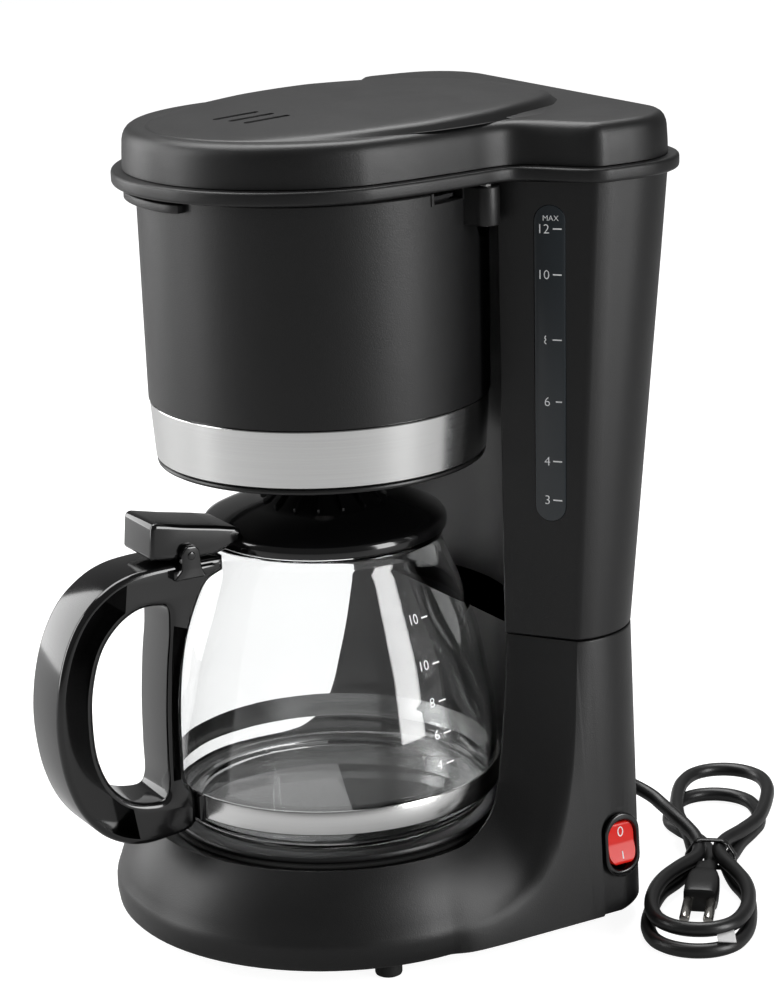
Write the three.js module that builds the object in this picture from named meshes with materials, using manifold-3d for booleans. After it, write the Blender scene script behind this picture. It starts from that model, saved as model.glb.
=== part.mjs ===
// Drip coffee maker: base with hot plate, rear column with water tank, hinged lid, swing-out
// filter holder and glass jug. Millimetres, +Z up, machine front towards -Y. The origin is on
// the axis shared by the jug, the hot plate and the filter holder, at the surface it stands on.
import * as THREE from 'three';
import { mergeVertices } from 'three/addons/utils/BufferGeometryUtils.js';
import Module from 'manifold-3d';

const wasm = await Module();
wasm.setup();

// ---------------------------------------------------------------- driving dimensions
const GAP = 0.3;                 // gap between touching pieces
const FOOT_H = 7, FOOT_R = 5.2;
const BASE_Z0 = 7;               // lower edge of the base housing
const SEAM_Z = 118;              // base housing / tank housing joint line
const COL_TOP = 292.8;           // top of the tank housing
const WALL = 2.6;
const POCKET_R = 73.2;           // jug bay wall
const REAR_R = 29;               // rear corner radius
const PLATE_TOP = 43.7;
const FRAME_Z0 = 293.2, FRAME_Z1 = 298.5;
const LID_Z0 = 298.8, LID_SHOULDER = 312.2, LID_TOP = 314.3;
const HOLDER_TOP = 292.4, BAND_Z0 = 187.6, BAND_Z1 = 209.4;
const HINGE = [62, 38];          // vertical axis of the filter holder
const LID_AXIS = [119.2, 302.5]; // y, z of the lid hinge
const JUG_LID_AXIS = [-65.5, 158.6];
const SWITCH = [88.9, 77, 34.3];
const GLAND = [4, 98.4, 24];
const CORD_D = 5.8;
const TIE = [63, 139];           // middle of the cord hank
const HANK_U = [0.7526, -0.6585], HANK_V = [0.6585, 0.7526];

// ---------------------------------------------------------------- geometry helpers
const D2R = Math.PI / 180;
function lerpTable(t, x) {
  if (x <= t[0][0]) return t[0][1];
  for (let i = 1; i < t.length; i++) if (x <= t[i][0]) {
    const k = (x - t[i - 1][0]) / (t[i][0] - t[i - 1][0]);
    return t[i - 1][1] + k * (t[i][1] - t[i - 1][1]);
  }
  return t[t.length - 1][1];
}
function geo(pos, idx) {
  const g = new THREE.BufferGeometry();
  g.setAttribute('position', new THREE.BufferAttribute(new Float32Array(pos.flat()), 3));
  g.setIndex(idx);
  return g;
}
function volume(pos, idx) {
  let v = 0;
  for (let i = 0; i < idx.length; i += 3) {
    const [a, b, c] = [pos[idx[i]], pos[idx[i + 1]], pos[idx[i + 2]]];
    v += a[0] * (b[1] * c[2] - b[2] * c[1]) - a[1] * (b[0] * c[2] - b[2] * c[0]) + a[2] * (b[0] * c[1] - b[1] * c[0]);
  }
  return v / 6;
}
// rings of equal point count joined in order; 'caps' closes the first and last ring with flat
// faces, otherwise the last ring joins back to the first
function loft(rings, caps = true) {
  const n = rings[0].length, m = rings.length, pos = rings.flat(), idx = [];
  const last = caps ? m - 1 : m;
  for (let j = 0; j < last; j++) for (let i = 0; i < n; i++) {
    const a = j * n + i, b = j * n + (i + 1) % n, c = ((j + 1) % m) * n + (i + 1) % n, d = ((j + 1) % m) * n + i;
    const diag1 = dist(pos[a], pos[c]), diag2 = dist(pos[b], pos[d]);
    if (diag1 <= diag2) idx.push(a, b, c, a, c, d); else idx.push(a, b, d, b, c, d);
  }
  if (caps) {
    for (const [j, flip] of [[0, true], [m - 1, false]]) {
      const ring = rings[j].map((p) => new THREE.Vector2(p[0], p[1]));
      for (const t of THREE.ShapeUtils.triangulateShape(ring, [])) {
        const f = THREE.ShapeUtils.area(ring) > 0;
        const q = (flip !== f) ? t : [t[0], t[2], t[1]];
        idx.push(...(f ? q : [q[0], q[2], q[1]]).map((k) => j * n + k));
      }
    }
  }
  return orient(pos, idx);
}
function dist(a, b) { return Math.hypot(a[0] - b[0], a[1] - b[1], a[2] - b[2]); }
function orient(pos, idx) {
  // make neighbouring faces agree, then point them outwards
  const edges = new Map(), nf = idx.length / 3, flip = new Array(nf).fill(undefined);
  for (let f = 0; f < nf; f++) for (let k = 0; k < 3; k++) {
    const a = idx[3 * f + k], b = idx[3 * f + (k + 1) % 3], key = a < b ? a + '_' + b : b + '_' + a;
    if (!edges.has(key)) edges.set(key, []);
    edges.get(key).push([f, a < b]);
  }
  flip[0] = false;
  const todo = [0];
  while (todo.length) {
    const f = todo.pop();
    for (let k = 0; k < 3; k++) {
      const a = idx[3 * f + k], b = idx[3 * f + (k + 1) % 3], key = a < b ? a + '_' + b : b + '_' + a;
      for (const [g, dir] of edges.get(key)) if (g !== f && flip[g] === undefined) {
        flip[g] = ((a < b) === dir) !== flip[f];
        todo.push(g);
      }
    }
  }
  const out = [];
  for (let f = 0; f < nf; f++) {
    const [a, b, c] = idx.slice(3 * f, 3 * f + 3);
    if (flip[f]) out.push(a, c, b); else out.push(a, b, c);
  }
  if (volume(pos, out) < 0) for (let f = 0; f < nf; f++) { const t = out[3 * f + 1]; out[3 * f + 1] = out[3 * f + 2]; out[3 * f + 2] = t; }
  return geo(pos, out);
}
// miter offset of a closed plan outline, inwards for a positive distance
function offset(pts, d) {
  const n = pts.length;
  let area = 0;
  for (let i = 0; i < n; i++) { const a = pts[i], b = pts[(i + 1) % n]; area += a[0] * b[1] - b[0] * a[1]; }
  const s = area > 0 ? 1 : -1;
  return pts.map((p, i) => {
    const a = pts[(i + n - 1) % n], b = pts[(i + 1) % n];
    const l1 = Math.hypot(p[0] - a[0], p[1] - a[1]) || 1, l2 = Math.hypot(b[0] - p[0], b[1] - p[1]) || 1;
    const n1 = [-(p[1] - a[1]) / l1 * s, (p[0] - a[0]) / l1 * s], n2 = [-(b[1] - p[1]) / l2 * s, (b[0] - p[0]) / l2 * s];
    const k = Math.max(0.35, 1 + n1[0] * n2[0] + n1[1] * n2[1]);
    return [p[0] + (n1[0] + n2[0]) / k * d, p[1] + (n1[1] + n2[1]) / k * d];
  });
}
const at = (pts, z) => pts.map((p) => [p[0], p[1], z]);
const shapeOf = (pts) => new THREE.Shape(pts.map((p) => new THREE.Vector2(p[0], p[1])));
// the outline without doubled points and points on a straight run
function clean(pts) {
  const p = pts.filter((a, i) => { const b = pts[(i + pts.length - 1) % pts.length]; return Math.hypot(a[0] - b[0], a[1] - b[1]) > 0.02; });
  return p.filter((b, i) => {
    const a = p[(i + p.length - 1) % p.length], c = p[(i + 1) % p.length];
    const l = Math.hypot(b[0] - a[0], b[1] - a[1]) * Math.hypot(c[0] - b[0], c[1] - b[1]);
    return Math.abs((b[0] - a[0]) * (c[1] - b[1]) - (b[1] - a[1]) * (c[0] - b[0])) / l > 1e-4;
  });
}
function prism(pts, z0, z1, holes = []) {
  const s = shapeOf(clean(pts));
  for (const h of holes) s.holes.push(new THREE.Path(clean(h).map((p) => new THREE.Vector2(p[0], p[1]))));
  const g = new THREE.ExtrudeGeometry(s, { depth: z1 - z0, bevelEnabled: false, steps: 1 });
  g.translate(0, 0, z0);
  return g;
}
// prism along X from a (y, z) outline
function prismX(yz, x0, x1, holes = []) {
  const g = prism(yz, 0, x1 - x0, holes);
  g.applyMatrix4(new THREE.Matrix4().set(0, 0, 1, x0, 1, 0, 0, 0, 0, 1, 0, 0, 0, 0, 0, 1));
  return g;
}
// prism along Y from an (x, z) outline
function prismY(xz, y0, y1) {
  const g = prism(xz, 0, y1 - y0);
  g.applyMatrix4(new THREE.Matrix4().set(1, 0, 0, 0, 0, 0, -1, y1, 0, 1, 0, 0, 0, 0, 0, 1));
  return g;
}
const circle = (r, n = 24, cx = 0, cy = 0, a0 = 0) => Array.from({ length: n }, (_, i) => {
  const a = a0 * D2R + i * 2 * Math.PI / n; return [cx + r * Math.cos(a), cy + r * Math.sin(a)];
});
// profile of [r, z] turned about the Z axis; it starts and ends on the axis or closes on itself
function turn(profile, seg = 32, cx = 0, cy = 0) {
  const g = new THREE.LatheGeometry(profile.map((p) => new THREE.Vector2(p[0], p[1])), seg);
  g.rotateX(Math.PI / 2);
  g.translate(cx, cy, 0);
  return g;
}
const ring = (r0, r1, z0, z1, seg = 32, cx = 0, cy = 0) => turn([[r0, z0], [r1, z0], [r1, z1], [r0, z1], [r0, z0]], seg, cx, cy);
const rod = (r, z0, z1, seg = 16, cx = 0, cy = 0) => turn([[0, z0], [r, z0], [r, z1], [0, z1]], seg, cx, cy);
function box(x0, x1, y0, y1, z0, z1) {
  const g = new THREE.BoxGeometry(x1 - x0, y1 - y0, z1 - z0);
  g.translate((x0 + x1) / 2, (y0 + y1) / 2, (z0 + z1) / 2);
  return g;
}
// tube along points, hollow when 'bore' is given
function tube(points, r, sides, steps, bore = 0) {
  const c = new THREE.CatmullRomCurve3(points.map((p) => new THREE.Vector3(...p)), false, 'centripetal');
  const s = shapeOf(circle(r, sides));
  if (bore) s.holes.push(new THREE.Path(circle(bore, sides).map((p) => new THREE.Vector2(...p))));
  return new THREE.ExtrudeGeometry(s, { steps, bevelEnabled: false, extrudePath: c });
}
function weld(g) {
  let h = g.clone();
  for (const k of Object.keys(h.attributes)) if (k !== 'position') h.deleteAttribute(k);
  if (h.index === null || g.type !== 'BufferGeometry' || true) h = mergeVertices(h, 1e-3);
  const p = h.attributes.position, idx = Array.from(h.index.array), pos = [];
  for (let i = 0; i < p.count; i++) pos.push([p.getX(i), p.getY(i), p.getZ(i)]);
  const keep = [];
  for (let i = 0; i < idx.length; i += 3) {
    const [a, b, c] = [idx[i], idx[i + 1], idx[i + 2]];
    if (a !== b && b !== c && a !== c) keep.push(a, b, c);
  }
  return orient(pos, keep);
}
function solid(g) {
  const h = weld(g);
  return new wasm.Manifold(new wasm.Mesh({ numProp: 3, vertProperties: new Float32Array(h.attributes.position.array), triVerts: new Uint32Array(h.index.array) }));
}
function fromSolid(m) {
  const q = m.getMesh(), g = new THREE.BufferGeometry();
  g.setAttribute('position', new THREE.BufferAttribute(new Float32Array(q.vertProperties), 3));
  g.setIndex(Array.from(q.triVerts));
  return g;
}
const cut = (g, ...tools) => fromSolid(tools.reduce((m, t) => m.subtract(solid(t)), solid(g)));
const join = (g, ...more) => fromSolid(more.reduce((m, t) => m.add(solid(t)), solid(g)));
const whole = (g) => fromSolid(solid(g).decompose().sort((a, b) => b.volume() - a.volume())[0]);  // drops thin offcuts
const both = (g, h) => fromSolid(solid(g).intersect(solid(h)));

const root = new THREE.Group();
const MAT = {
  housing: [0x1b1b1c, 0.62, 0], gloss: [0x060606, 0.15, 0], steel: [0xb8b8b8, 0.3, 1], glass: [0xf4f8f8, 0.05, 0],
  window: [0x2c3338, 0.25, 0], rubber: [0x141414, 0.8, 0], cord: [0x0c0c0c, 0.45, 0], red: [0xc8180c, 0.3, 0],
  plate: [0x3a3a3c, 0.45, 0.6], aluminium: [0xa8a8aa, 0.45, 1], hose: [0xd8d4cc, 0.6, 0], white: [0xe6e2d8, 0.5, 0],
  basket: [0x202021, 0.55, 0], mesh: [0xb0a070, 0.5, 0.6], brass: [0xb49040, 0.35, 1], wire: [0x8a1a14, 0.6, 0],
};
const cache = {};
function add(name, g, mat) {
  if (!cache[mat]) {
    const [color, roughness, metalness] = MAT[mat];
    cache[mat] = new THREE.MeshStandardMaterial({ color, roughness, metalness });
  }
  const h = weld(g);
  const m = new THREE.Mesh(h, cache[mat]);
  m.name = name;
  root.add(m);
  return m;
}

// ---------------------------------------------------------------- column plan outlines
const mirror = (half) => [...half, ...half.slice(1, -1).reverse().map((p) => [-p[0], ...p.slice(1)])];
const colW = (z) => lerpTable([[7, 91], [SEAM_Z, 83.6], [291, 87.5]], z);
const colRear = (z) => lerpTable([[7, 97.5], [SEAM_Z, 99.5], [291, 115]], z);
const gaugeIn = () => [58.3, 44.9];
const gaugeOut = (z) => [lerpTable([[SEAM_Z, 82.3], [291, 86]], z), lerpTable([[SEAM_Z, 62], [291, 70]], z)];
function rearSide(z, yStart, n = 5) {       // side wall, rear corner, to the middle of the rear
  const w = colW(z), y = colRear(z), out = [[w, yStart]];
  for (let i = 0; i <= n; i++) { const a = i / n * 90 * D2R; out.push([w - REAR_R + REAR_R * Math.cos(a), y - REAR_R + REAR_R * Math.sin(a)]); }
  out.push([0, y + 0.3]);
  return out;
}
function columnOutline(z) {
  const go = gaugeOut(z), gi = gaugeIn(), w = colW(z);
  const arc = [];
  for (let i = 0; i < 8; i++) { const a = (90 - i / 8 * 52.3) * D2R; arc.push([POCKET_R * Math.cos(a), POCKET_R * Math.sin(a)]); }
  const half = [...arc, gi, [go[0] - 2, go[1] - 1.7], [Math.min(w - 0.35, go[0] + 0.6), go[1] + 1.2], ...rearSide(z, go[1] + 4.5)];
  // 'half' runs from (0, pocket) round the right wing to (0, rear); the left side mirrors it
  return [...half, ...half.slice(1, -1).reverse().map((p) => [-p[0], p[1]])];
}

// ---------------------------------------------------------------- base housing
// stations round the base, front middle to rear middle: A lower edge, B outer shoulder,
// C inner rim; the ruled band B-C is the dome at the front, the gauge face lower down on the
// sides, and the flat seam at the back
const front = [];
for (let i = 0; i <= 6; i++) {
  const a = (-90 + 15 * i) * D2R, c = Math.cos(a), s = Math.sin(a);
  front.push({ A: [87.3 * c, 87.3 * s, 7], B: [88 * c, 88 * s, 17], C: [74.5 * c, 74.5 * s, 43] });
}
const side = [
  { A: [90, 8, 7], B: [89, 8, 17.3], C: [74, 8, 43.3] },
  { A: [91, 22, 7], B: [89.6, 22, 19.5], C: [71.8, 19, 44.7] },
  { A: [91, 36, 7], B: [89.2, 36, 27], C: [67.6, 31, 52] },
  { A: [91, 46, 7], B: [88.6, 45, 39], C: [65, 36, 62.4] },
  { A: [91, 54, 7], B: [87.2, 52, 56], C: [63, 39.4, 77.7] },
  { A: [91, 59.4, 7], B: [85.2, 57.5, 80], C: [61, 42.4, 93.5] },
  { A: [91, 63.4, 7], B: [82.3, 62, SEAM_Z], C: [58.2, 45.6, SEAM_Z] },
];
const back = [];
{
  const up = rearSide(SEAM_Z, 67, 5), lo = rearSide(7, 67.4, 5);
  for (let i = 0; i < up.length; i++) {
    const a = (38 + (i + 1) / up.length * 52) * D2R;
    back.push({ A: [lo[i][0], lo[i][1], 7], B: [up[i][0], up[i][1], SEAM_Z], C: [74 * Math.cos(a), 74 * Math.sin(a), SEAM_Z] });
  }
}
const halfBase = [...front, ...side, ...back];
function baseRings() {
  const all = { A0: [], A: [], A2: [], B: [], M: [], C: [], D: [], E: [], Ei: [], Di: [], Ci: [], Bi: [], Ai: [] };
  const stations = [...halfBase, ...halfBase.slice(1, -1).reverse().map((s) => ({ A: [-s.A[0], s.A[1], s.A[2]], B: [-s.B[0], s.B[1], s.B[2]], C: [-s.C[0], s.C[1], s.C[2]] }))];
  const bIn = offset(stations.map((s) => s.B), WALL), aIn = offset(stations.map((s) => s.A), WALL);
  stations.forEach((s, i) => {
    const ang = Math.atan2(s.C[1], s.C[0]), co = Math.cos(ang), si = Math.sin(ang);
    const high = s.B[2] >= SEAM_Z, lift = Math.min(1, Math.max(0, (s.C[2] - 44) / 12));
    const rC = Math.hypot(s.C[0], s.C[1]);
    all.A.push(s.A);
    all.A2.push([s.A[0] * 0.45 + s.B[0] * 0.55 + co * 0.25, s.A[1] * 0.45 + s.B[1] * 0.55 + si * 0.25, 7 + (s.B[2] - 7) * 0.55]);
    all.B.push(s.B);
    const bulge = high ? 0 : 1.3;
    all.M.push([(s.B[0] + s.C[0]) / 2 + co * bulge * 0.8, (s.B[1] + s.C[1]) / 2 + si * bulge * 0.8, (s.B[2] + s.C[2]) / 2 + bulge * 0.5]);
    all.C.push(s.C);
    all.D.push([POCKET_R * co, POCKET_R * si, 39.5]);
    all.E.push([60 * co, 60 * si, 39.5]);
    all.Ei.push([60 * co, 60 * si, 36.9]);
    const rDi = POCKET_R + 2.6 * lift;
    all.Di.push([rDi * co, rDi * si, 36.9]);
    if (high) {
      const rCi = 76.4;
      all.Ci.push([rCi * co, rCi * si, SEAM_Z - WALL]);
      all.Bi.push([bIn[i][0], bIn[i][1], SEAM_Z - WALL]);
    } else {
      const rCi = rC + 2.6, zc = Math.max(s.C[2] - 8 + 3 * lift, 34.5);
      all.Ci.push([rCi * co, rCi * si, zc]);
      all.Bi.push([bIn[i][0], bIn[i][1], Math.max(s.B[2] - 2.2, 12)]);
    }
    all.Ai.push([aIn[i][0], aIn[i][1], 7]);
  });
  return [all.A, all.A2, all.B, all.M, all.C, all.D, all.E, all.Ei, all.Di, all.Ci, all.Bi, all.Ai];
}
const stadium = (hw, hh, cy, cz, n = 6) => {   // upright stadium outline in (y, z)
  const out = [];
  for (let i = 0; i <= n; i++) { const a = i / n * Math.PI; out.push([cy + hw * Math.cos(a), cz + (hh - hw) + hw * Math.sin(a)]); }
  for (let i = 0; i <= n; i++) { const a = Math.PI + i / n * Math.PI; out.push([cy + hw * Math.cos(a), cz - (hh - hw) + hw * Math.sin(a)]); }
  return out;
};
const BOSSES = [[54.4, -54.4, 27], [-54.4, -54.4, 27], [84, 52, 30], [-84, 52, 30]];
let base = loft(baseRings(), false);
const baseArch = [[68, 5], [85.6, 5], [85.6, 41]];
for (let i = 0; i <= 8; i++) { const a = i / 8 * Math.PI; baseArch.push([76.8 + 8.8 * Math.cos(a), 41 + 8.2 * Math.sin(a)]); }
baseArch.push([68, 41]);
const archClean = baseArch.filter((p, i) => i === 0 || Math.hypot(p[0] - baseArch[i - 1][0], p[1] - baseArch[i - 1][1]) > 0.01);
const bossG = BOSSES.map(([x, y, z]) => rod(4.6, 9.9, z, 12, x, y));
const bossH = BOSSES.map(([x, y, z]) => rod(1.9, 9, z - 3, 8, x, y));
const archTool = prismX(archClean, 88.55, 95);
archTool.applyMatrix4(new THREE.Matrix4().makeShear(0, 0, 0, 0, -0.062, 0));
archTool.translate(0.062 * 34.3, 0, 0);
base = join(base, ...bossG);
base = cut(base, ...bossH, archTool, prismX(stadium(6.9, 12, SWITCH[1], SWITCH[2]), 70, 95));
{
  const hole = rod(6.2, -6, 8, 16);
  hole.rotateX(-Math.PI / 2);
  hole.translate(GLAND[0], GLAND[1], GLAND[2]);
  base = cut(base, hole, rod(6.0, 110, 125, 12, -14, 86), rod(6.0, 110, 125, 12, 16, 86));
}
add('base_housing', whole(base), 'housing');

// bottom cover with screw holes
const lowOutline = baseRings()[11].map((p) => [p[0], p[1]]);
const coverPts = offset(lowOutline, 0.5);
add('bottom_cover', prism(coverPts, 7.3, 9.6, BOSSES.map(([x, y]) => circle(2.2, 10, x, y))), 'housing');
[[74.2, -20], [-74.2, -20], [70, 84], [-70, 84]].forEach(([x, y], i) => {
  add('foot_' + ['front_right', 'front_left', 'rear_right', 'rear_left'][i],
    turn([[0, 0], [FOOT_R - 0.7, 0], [FOOT_R, 0.7], [FOOT_R, FOOT_H], [0, FOOT_H]], 14, x, y), 'rubber');
});
BOSSES.forEach(([x, y, z], i) => {
  add('screw_' + (i + 1), turn([[0, 5.2], [3.2, 5.2], [3.4, 6.2], [3.4, 7], [1.6, 7.0], [1.6, z - 5], [0, z - 3.6]], 8, x, y), 'steel');
});

// ---------------------------------------------------------------- tank housing and sight window
const tankZ = [SEAM_Z + 0.4, 204, COL_TOP];
const tankOuter = tankZ.map((z) => at(columnOutline(z), z));
const tankInner = [COL_TOP, 204, SEAM_Z + 3.4].map((z) => at(offset(columnOutline(z), WALL), z));
let tank = loft([...tankOuter, ...tankInner], true);
const HOLE_IN = [-14, 86], HOLE_OUT = [16, 86];
tank = cut(tank, rod(5.6, 110, 130, 16, ...HOLE_IN), rod(5.6, 110, 130, 16, ...HOLE_OUT));
// sight window frame of reference: origin on the gauge face, u along the face, w outwards
const WIN_Z0 = 165, WIN_Z1 = 284, WIN_HW = 5.6;
function faceAt(z) {
  const a = gaugeIn(), b = gaugeOut(z), d = [b[0] - 2 - a[0], b[1] - 1.7 - a[1]], l = Math.hypot(...d);
  return { o: a, u: [d[0] / l, d[1] / l], w: [d[1] / l, -d[0] / l], l };
}
function windowSlab(hw, z0, z1, w0, w1, n = 8) {
  const half = [];
  for (let i = 0; i <= n; i++) { const a = i / n * Math.PI; half.push([hw * Math.cos(a), z1 - hw + hw * Math.sin(a)]); }
  for (let i = 0; i <= n; i++) { const a = Math.PI + i / n * Math.PI; half.push([hw * Math.cos(a), z0 + hw + hw * Math.sin(a)]); }
  const map = (w) => half.map(([s, z]) => {
    const f = faceAt(z), c = 19.6 + (z - 224) * 0.006;
    return [f.o[0] + f.u[0] * (c + s) + f.w[0] * w, f.o[1] + f.u[1] * (c + s) + f.w[1] * w, z];
  });
  const r0 = map(w0), r1 = map(w1), nn = r0.length, pos = [...r0, ...r1], idx = [];
  for (let i = 0; i < nn; i++) { const j = (i + 1) % nn; idx.push(i, j, nn + j, i, nn + j, nn + i); }
  const flat = half.map((p) => new THREE.Vector2(...p));
  for (const t of THREE.ShapeUtils.triangulateShape(flat, [])) { idx.push(t[0], t[2], t[1]); idx.push(nn + t[0], nn + t[1], nn + t[2]); }
  return orient(pos, idx);
}
tank = cut(tank, windowSlab(WIN_HW + 0.35, WIN_Z0 - 0.35, WIN_Z1 + 0.35, -6, 3));
add('tank_housing', tank, 'housing');
add('level_window', windowSlab(WIN_HW, WIN_Z0, WIN_Z1, -WALL, 0.35), 'window');

// ---------------------------------------------------------------- top frame (flange)
// plan outline of the flange: round front, waisted sides, wings over the column
function flangeHalf() {
  const out = [];
  for (let i = 0; i <= 7; i++) { const a = (-90 + i / 7 * 82) * D2R; out.push([70.5 * Math.cos(a), -5 + 70.5 * Math.sin(a)]); }
  out.push([69.6, 4], [68.4, 18], [66.8, 32], [65.6, 42], [66.4, 48.5], [70.5, 53.2], [77, 58], [84, 63], [88.4, 67.2], [90.4, 72], [90.6, 78], [90.2, 88]);
  const cx = 90 - 32, cy = 120 - 32;
  for (let i = 1; i <= 6; i++) { const a = i / 6 * 90 * D2R; out.push([cx + 32 * Math.cos(a), cy + 32 * Math.sin(a)]); }
  out.push([30, 120], [0, 120]);
  return out;
}
const flange = mirror(flangeHalf());
const tankTopIn = offset(columnOutline(COL_TOP), WALL + 1.2);
let frame = prism(flange, FRAME_Z0, FRAME_Z1, [circle(63.4, 30, 0, 0, 4.5)]);
frame = cut(frame, prism(tankTopIn, FRAME_Z0 - 2, FRAME_Z1 + 2));
frame = cut(frame, rod(2.4, FRAME_Z0 - 1, FRAME_Z1 - 2.2, 12, ...HINGE));
{
  const lug = (x0, x1) => {
    const yz = [[116.4, FRAME_Z1 - 1], [122, FRAME_Z1 - 1], [122, LID_AXIS[1]]];
    for (let i = 1; i < 6; i++) { const a = i / 6 * Math.PI; yz.push([LID_AXIS[0] + 2.8 * Math.cos(a), LID_AXIS[1] + 2.8 * Math.sin(a)]); }
    yz.push([116.4, LID_AXIS[1]]);
    return prismX(yz, x0, x1);
  };
  frame = join(frame, lug(31, 38), lug(-38, -31));
  const bore = prismX(circle(1.75, 10, LID_AXIS[0], LID_AXIS[1]), -36.5, 36.5);
  frame = cut(frame, bore);
}
add('top_frame', frame, 'housing');
add('lid_hinge_pin', prismX(circle(1.4, 10, LID_AXIS[0], LID_AXIS[1]), -36, 36), 'steel');
add('holder_hinge_pin', rod(2, 277.5, FRAME_Z1 - 2.6, 12, ...HINGE), 'steel');

// ---------------------------------------------------------------- lid
const LID_IN = 4.2;
const lidWall = offset(flange, LID_IN);
function crownPoint(p, k) {                 // egg-shaped crown outline by direction from its middle
  const cx = 0, cy = 18, ang = Math.atan2(p[1] - cy, p[0] - cx);
  const c = Math.cos(ang), s = Math.sin(ang);
  const a = 60 - 13 * Math.max(0, s) * Math.max(0, s) - 1.5 * Math.abs(s), b = s < 0 ? 80 : 82;
  const e = s < 0 ? 2.1 : 2.6;
  const r = 1 / Math.pow(Math.pow(Math.abs(c) / a, e) + Math.pow(Math.abs(s) / b, e), 1 / e);
  return [cx + c * r * k, cy + s * r * k];
}
const crownZ = (y) => lerpTable([[-62, 314.0], [-30, 316.2], [0, 318.2], [30, 319.2], [60, 319.2], [80, 318.4], [100, 316.6]], y);
function lidRings() {
  const low = offset(lidWall, 0.5), sh = offset(lidWall, 0.2), sh2 = offset(lidWall, 1.2), top = offset(lidWall, 3.6);
  const r = [at(lidWall, LID_Z0), at(low, LID_SHOULDER - 1), at(sh2, LID_SHOULDER + 1.2), at(top, LID_TOP)];
  const crown = (k, f) => top.map((p) => { const q = crownPoint(p, k); return [q[0], q[1], f(q[1])]; });
  r.push(crown(1.0, () => LID_TOP + 0.1));
  r.push(crown(0.96, (y) => Math.max(LID_TOP + 0.3, crownZ(y) - 0.6)));
  r.push(crown(0.6, crownZ));
  const c0 = crown(0.12, () => 319.0);
  r.push(c0);
  const inner = (k, d) => top.map((p) => { const q = crownPoint(p, k); return [q[0], q[1], Math.min(crownZ(q[1]), 319) - d]; });
  r.push(inner(0.1, 2.6), inner(0.93, 3.2));
  r.push(at(offset(lidWall, 5.2), LID_TOP - 2.6), at(offset(lidWall, 3.0), LID_SHOULDER - 2.4), at(offset(lidWall, WALL), LID_Z0));
  return r;
}
{
  const rr = lidRings(), topIdx = 7;
  // outer skin up to the small middle ring, then the inner skin; both close with flat discs
  const n = rr[0].length, pos = rr.flat(), idx = [];
  const band = (j0, j1) => {
    for (let i = 0; i < n; i++) {
      const a = j0 * n + i, b = j0 * n + (i + 1) % n, c = j1 * n + (i + 1) % n, d = j1 * n + i;
      if (dist(pos[a], pos[c]) <= dist(pos[b], pos[d])) idx.push(a, b, c, a, c, d); else idx.push(a, b, d, b, c, d);
    }
  };
  for (let j = 0; j < topIdx; j++) band(j, j + 1);
  for (let j = topIdx + 1; j < rr.length - 1; j++) band(j, j + 1);
  band(rr.length - 1, 0);
  for (const j of [topIdx, topIdx + 1]) {
    const c = pos.length; let m = [0, 0, 0];
    for (const p of rr[j]) m = m.map((v, k) => v + p[k] / n);
    pos.push(m);
    for (let i = 0; i < n; i++) idx.push(j * n + i, j * n + (i + 1) % n, c);
  }
  let lid = orient(pos, idx);
  const barrel = prismX(circle(2.6, 12, LID_AXIS[0], LID_AXIS[1]), -30, 30);
  const web = prismX([[114.6, 301], [119, 300.2], [119, 304.6], [114.4, 305]], -30, 30);
  lid = join(lid, join(barrel, web));
  lid = cut(lid, prismX(circle(1.75, 10, LID_AXIS[0], LID_AXIS[1]), -31, 31));
  const slot = (x, y0, y1) => box(x - 1.3, x + 1.3, y0, y1, 300, 330);
  lid = cut(lid, slot(-8.5, -33, -15), slot(0, -31, -13), slot(8.5, -29, -11));
  add('lid', lid, 'housing');
}

// ---------------------------------------------------------------- water path and heater
add('hot_plate', turn([[0, 42.4], [62.0, 42.4], [62.4, 41.3], [65.2, 41.3], [65.4, 42.6], [64.4, PLATE_TOP], [0, PLATE_TOP]], 28), 'plate');
add('plate_gasket', ring(61.2, 65.6, 39.8, 41.0, 28), 'rubber');
{
  const pts = [[-13, 72, 29], [-13, 62, 29.2], [-13, 50, 34.5]];
  for (let i = 0; i <= 12; i++) { const a = (109 + i / 12 * 322) * D2R; pts.push([40 * Math.cos(a), 40 * Math.sin(a), 37.6]); }
  pts.push([13, 50, 34.5], [13, 62, 29.2], [13, 72, 29]);
  add('heater_tube', tube(pts, 4.2, 8, 30), 'aluminium');
  add('heater_bracket', cut(prismX([[-44.5, 30.6], [44.5, 30.6], [44.5, 33.0], [-44.5, 33.0]], -9, 9), rod(3, 29, 35, 10, 0, 0)), 'steel');
}
add('thermostat', turn([[0, 19.6], [7.2, 19.6], [8, 20.4], [8, 30.2], [0, 30.2]], 12, 0, -24), 'white');
{
  const g = rod(2.2, -16, 16, 10); g.rotateY(Math.PI / 2); g.translate(0, 22, 27.6);
  add('thermal_fuse', g, 'white');
}
add('check_valve', turn([[2.6, 100], [4.2, 100], [4.2, 112], [5.2, 113], [5.2, 121.7], [8.6, 121.7], [8.6, 124], [2.6, 124], [2.6, 100]], 10, ...HOLE_IN), 'white');
add('inlet_hose', tube([[-14, 86, 99.6], [-14, 86, 80], [-14, 86, 52], [-13.6, 84, 36], [-13, 79, 29.4], [-13, 73.0, 29]], 5.6, 8, 10, 3.8), 'hose');
add('outlet_hose', tube([[16, 86, 99.6], [16, 86, 80], [15.4, 86, 52], [13.8, 84, 36], [13, 79, 29.4], [13, 73.0, 29]], 5.6, 8, 10, 3.8), 'hose');
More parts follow.
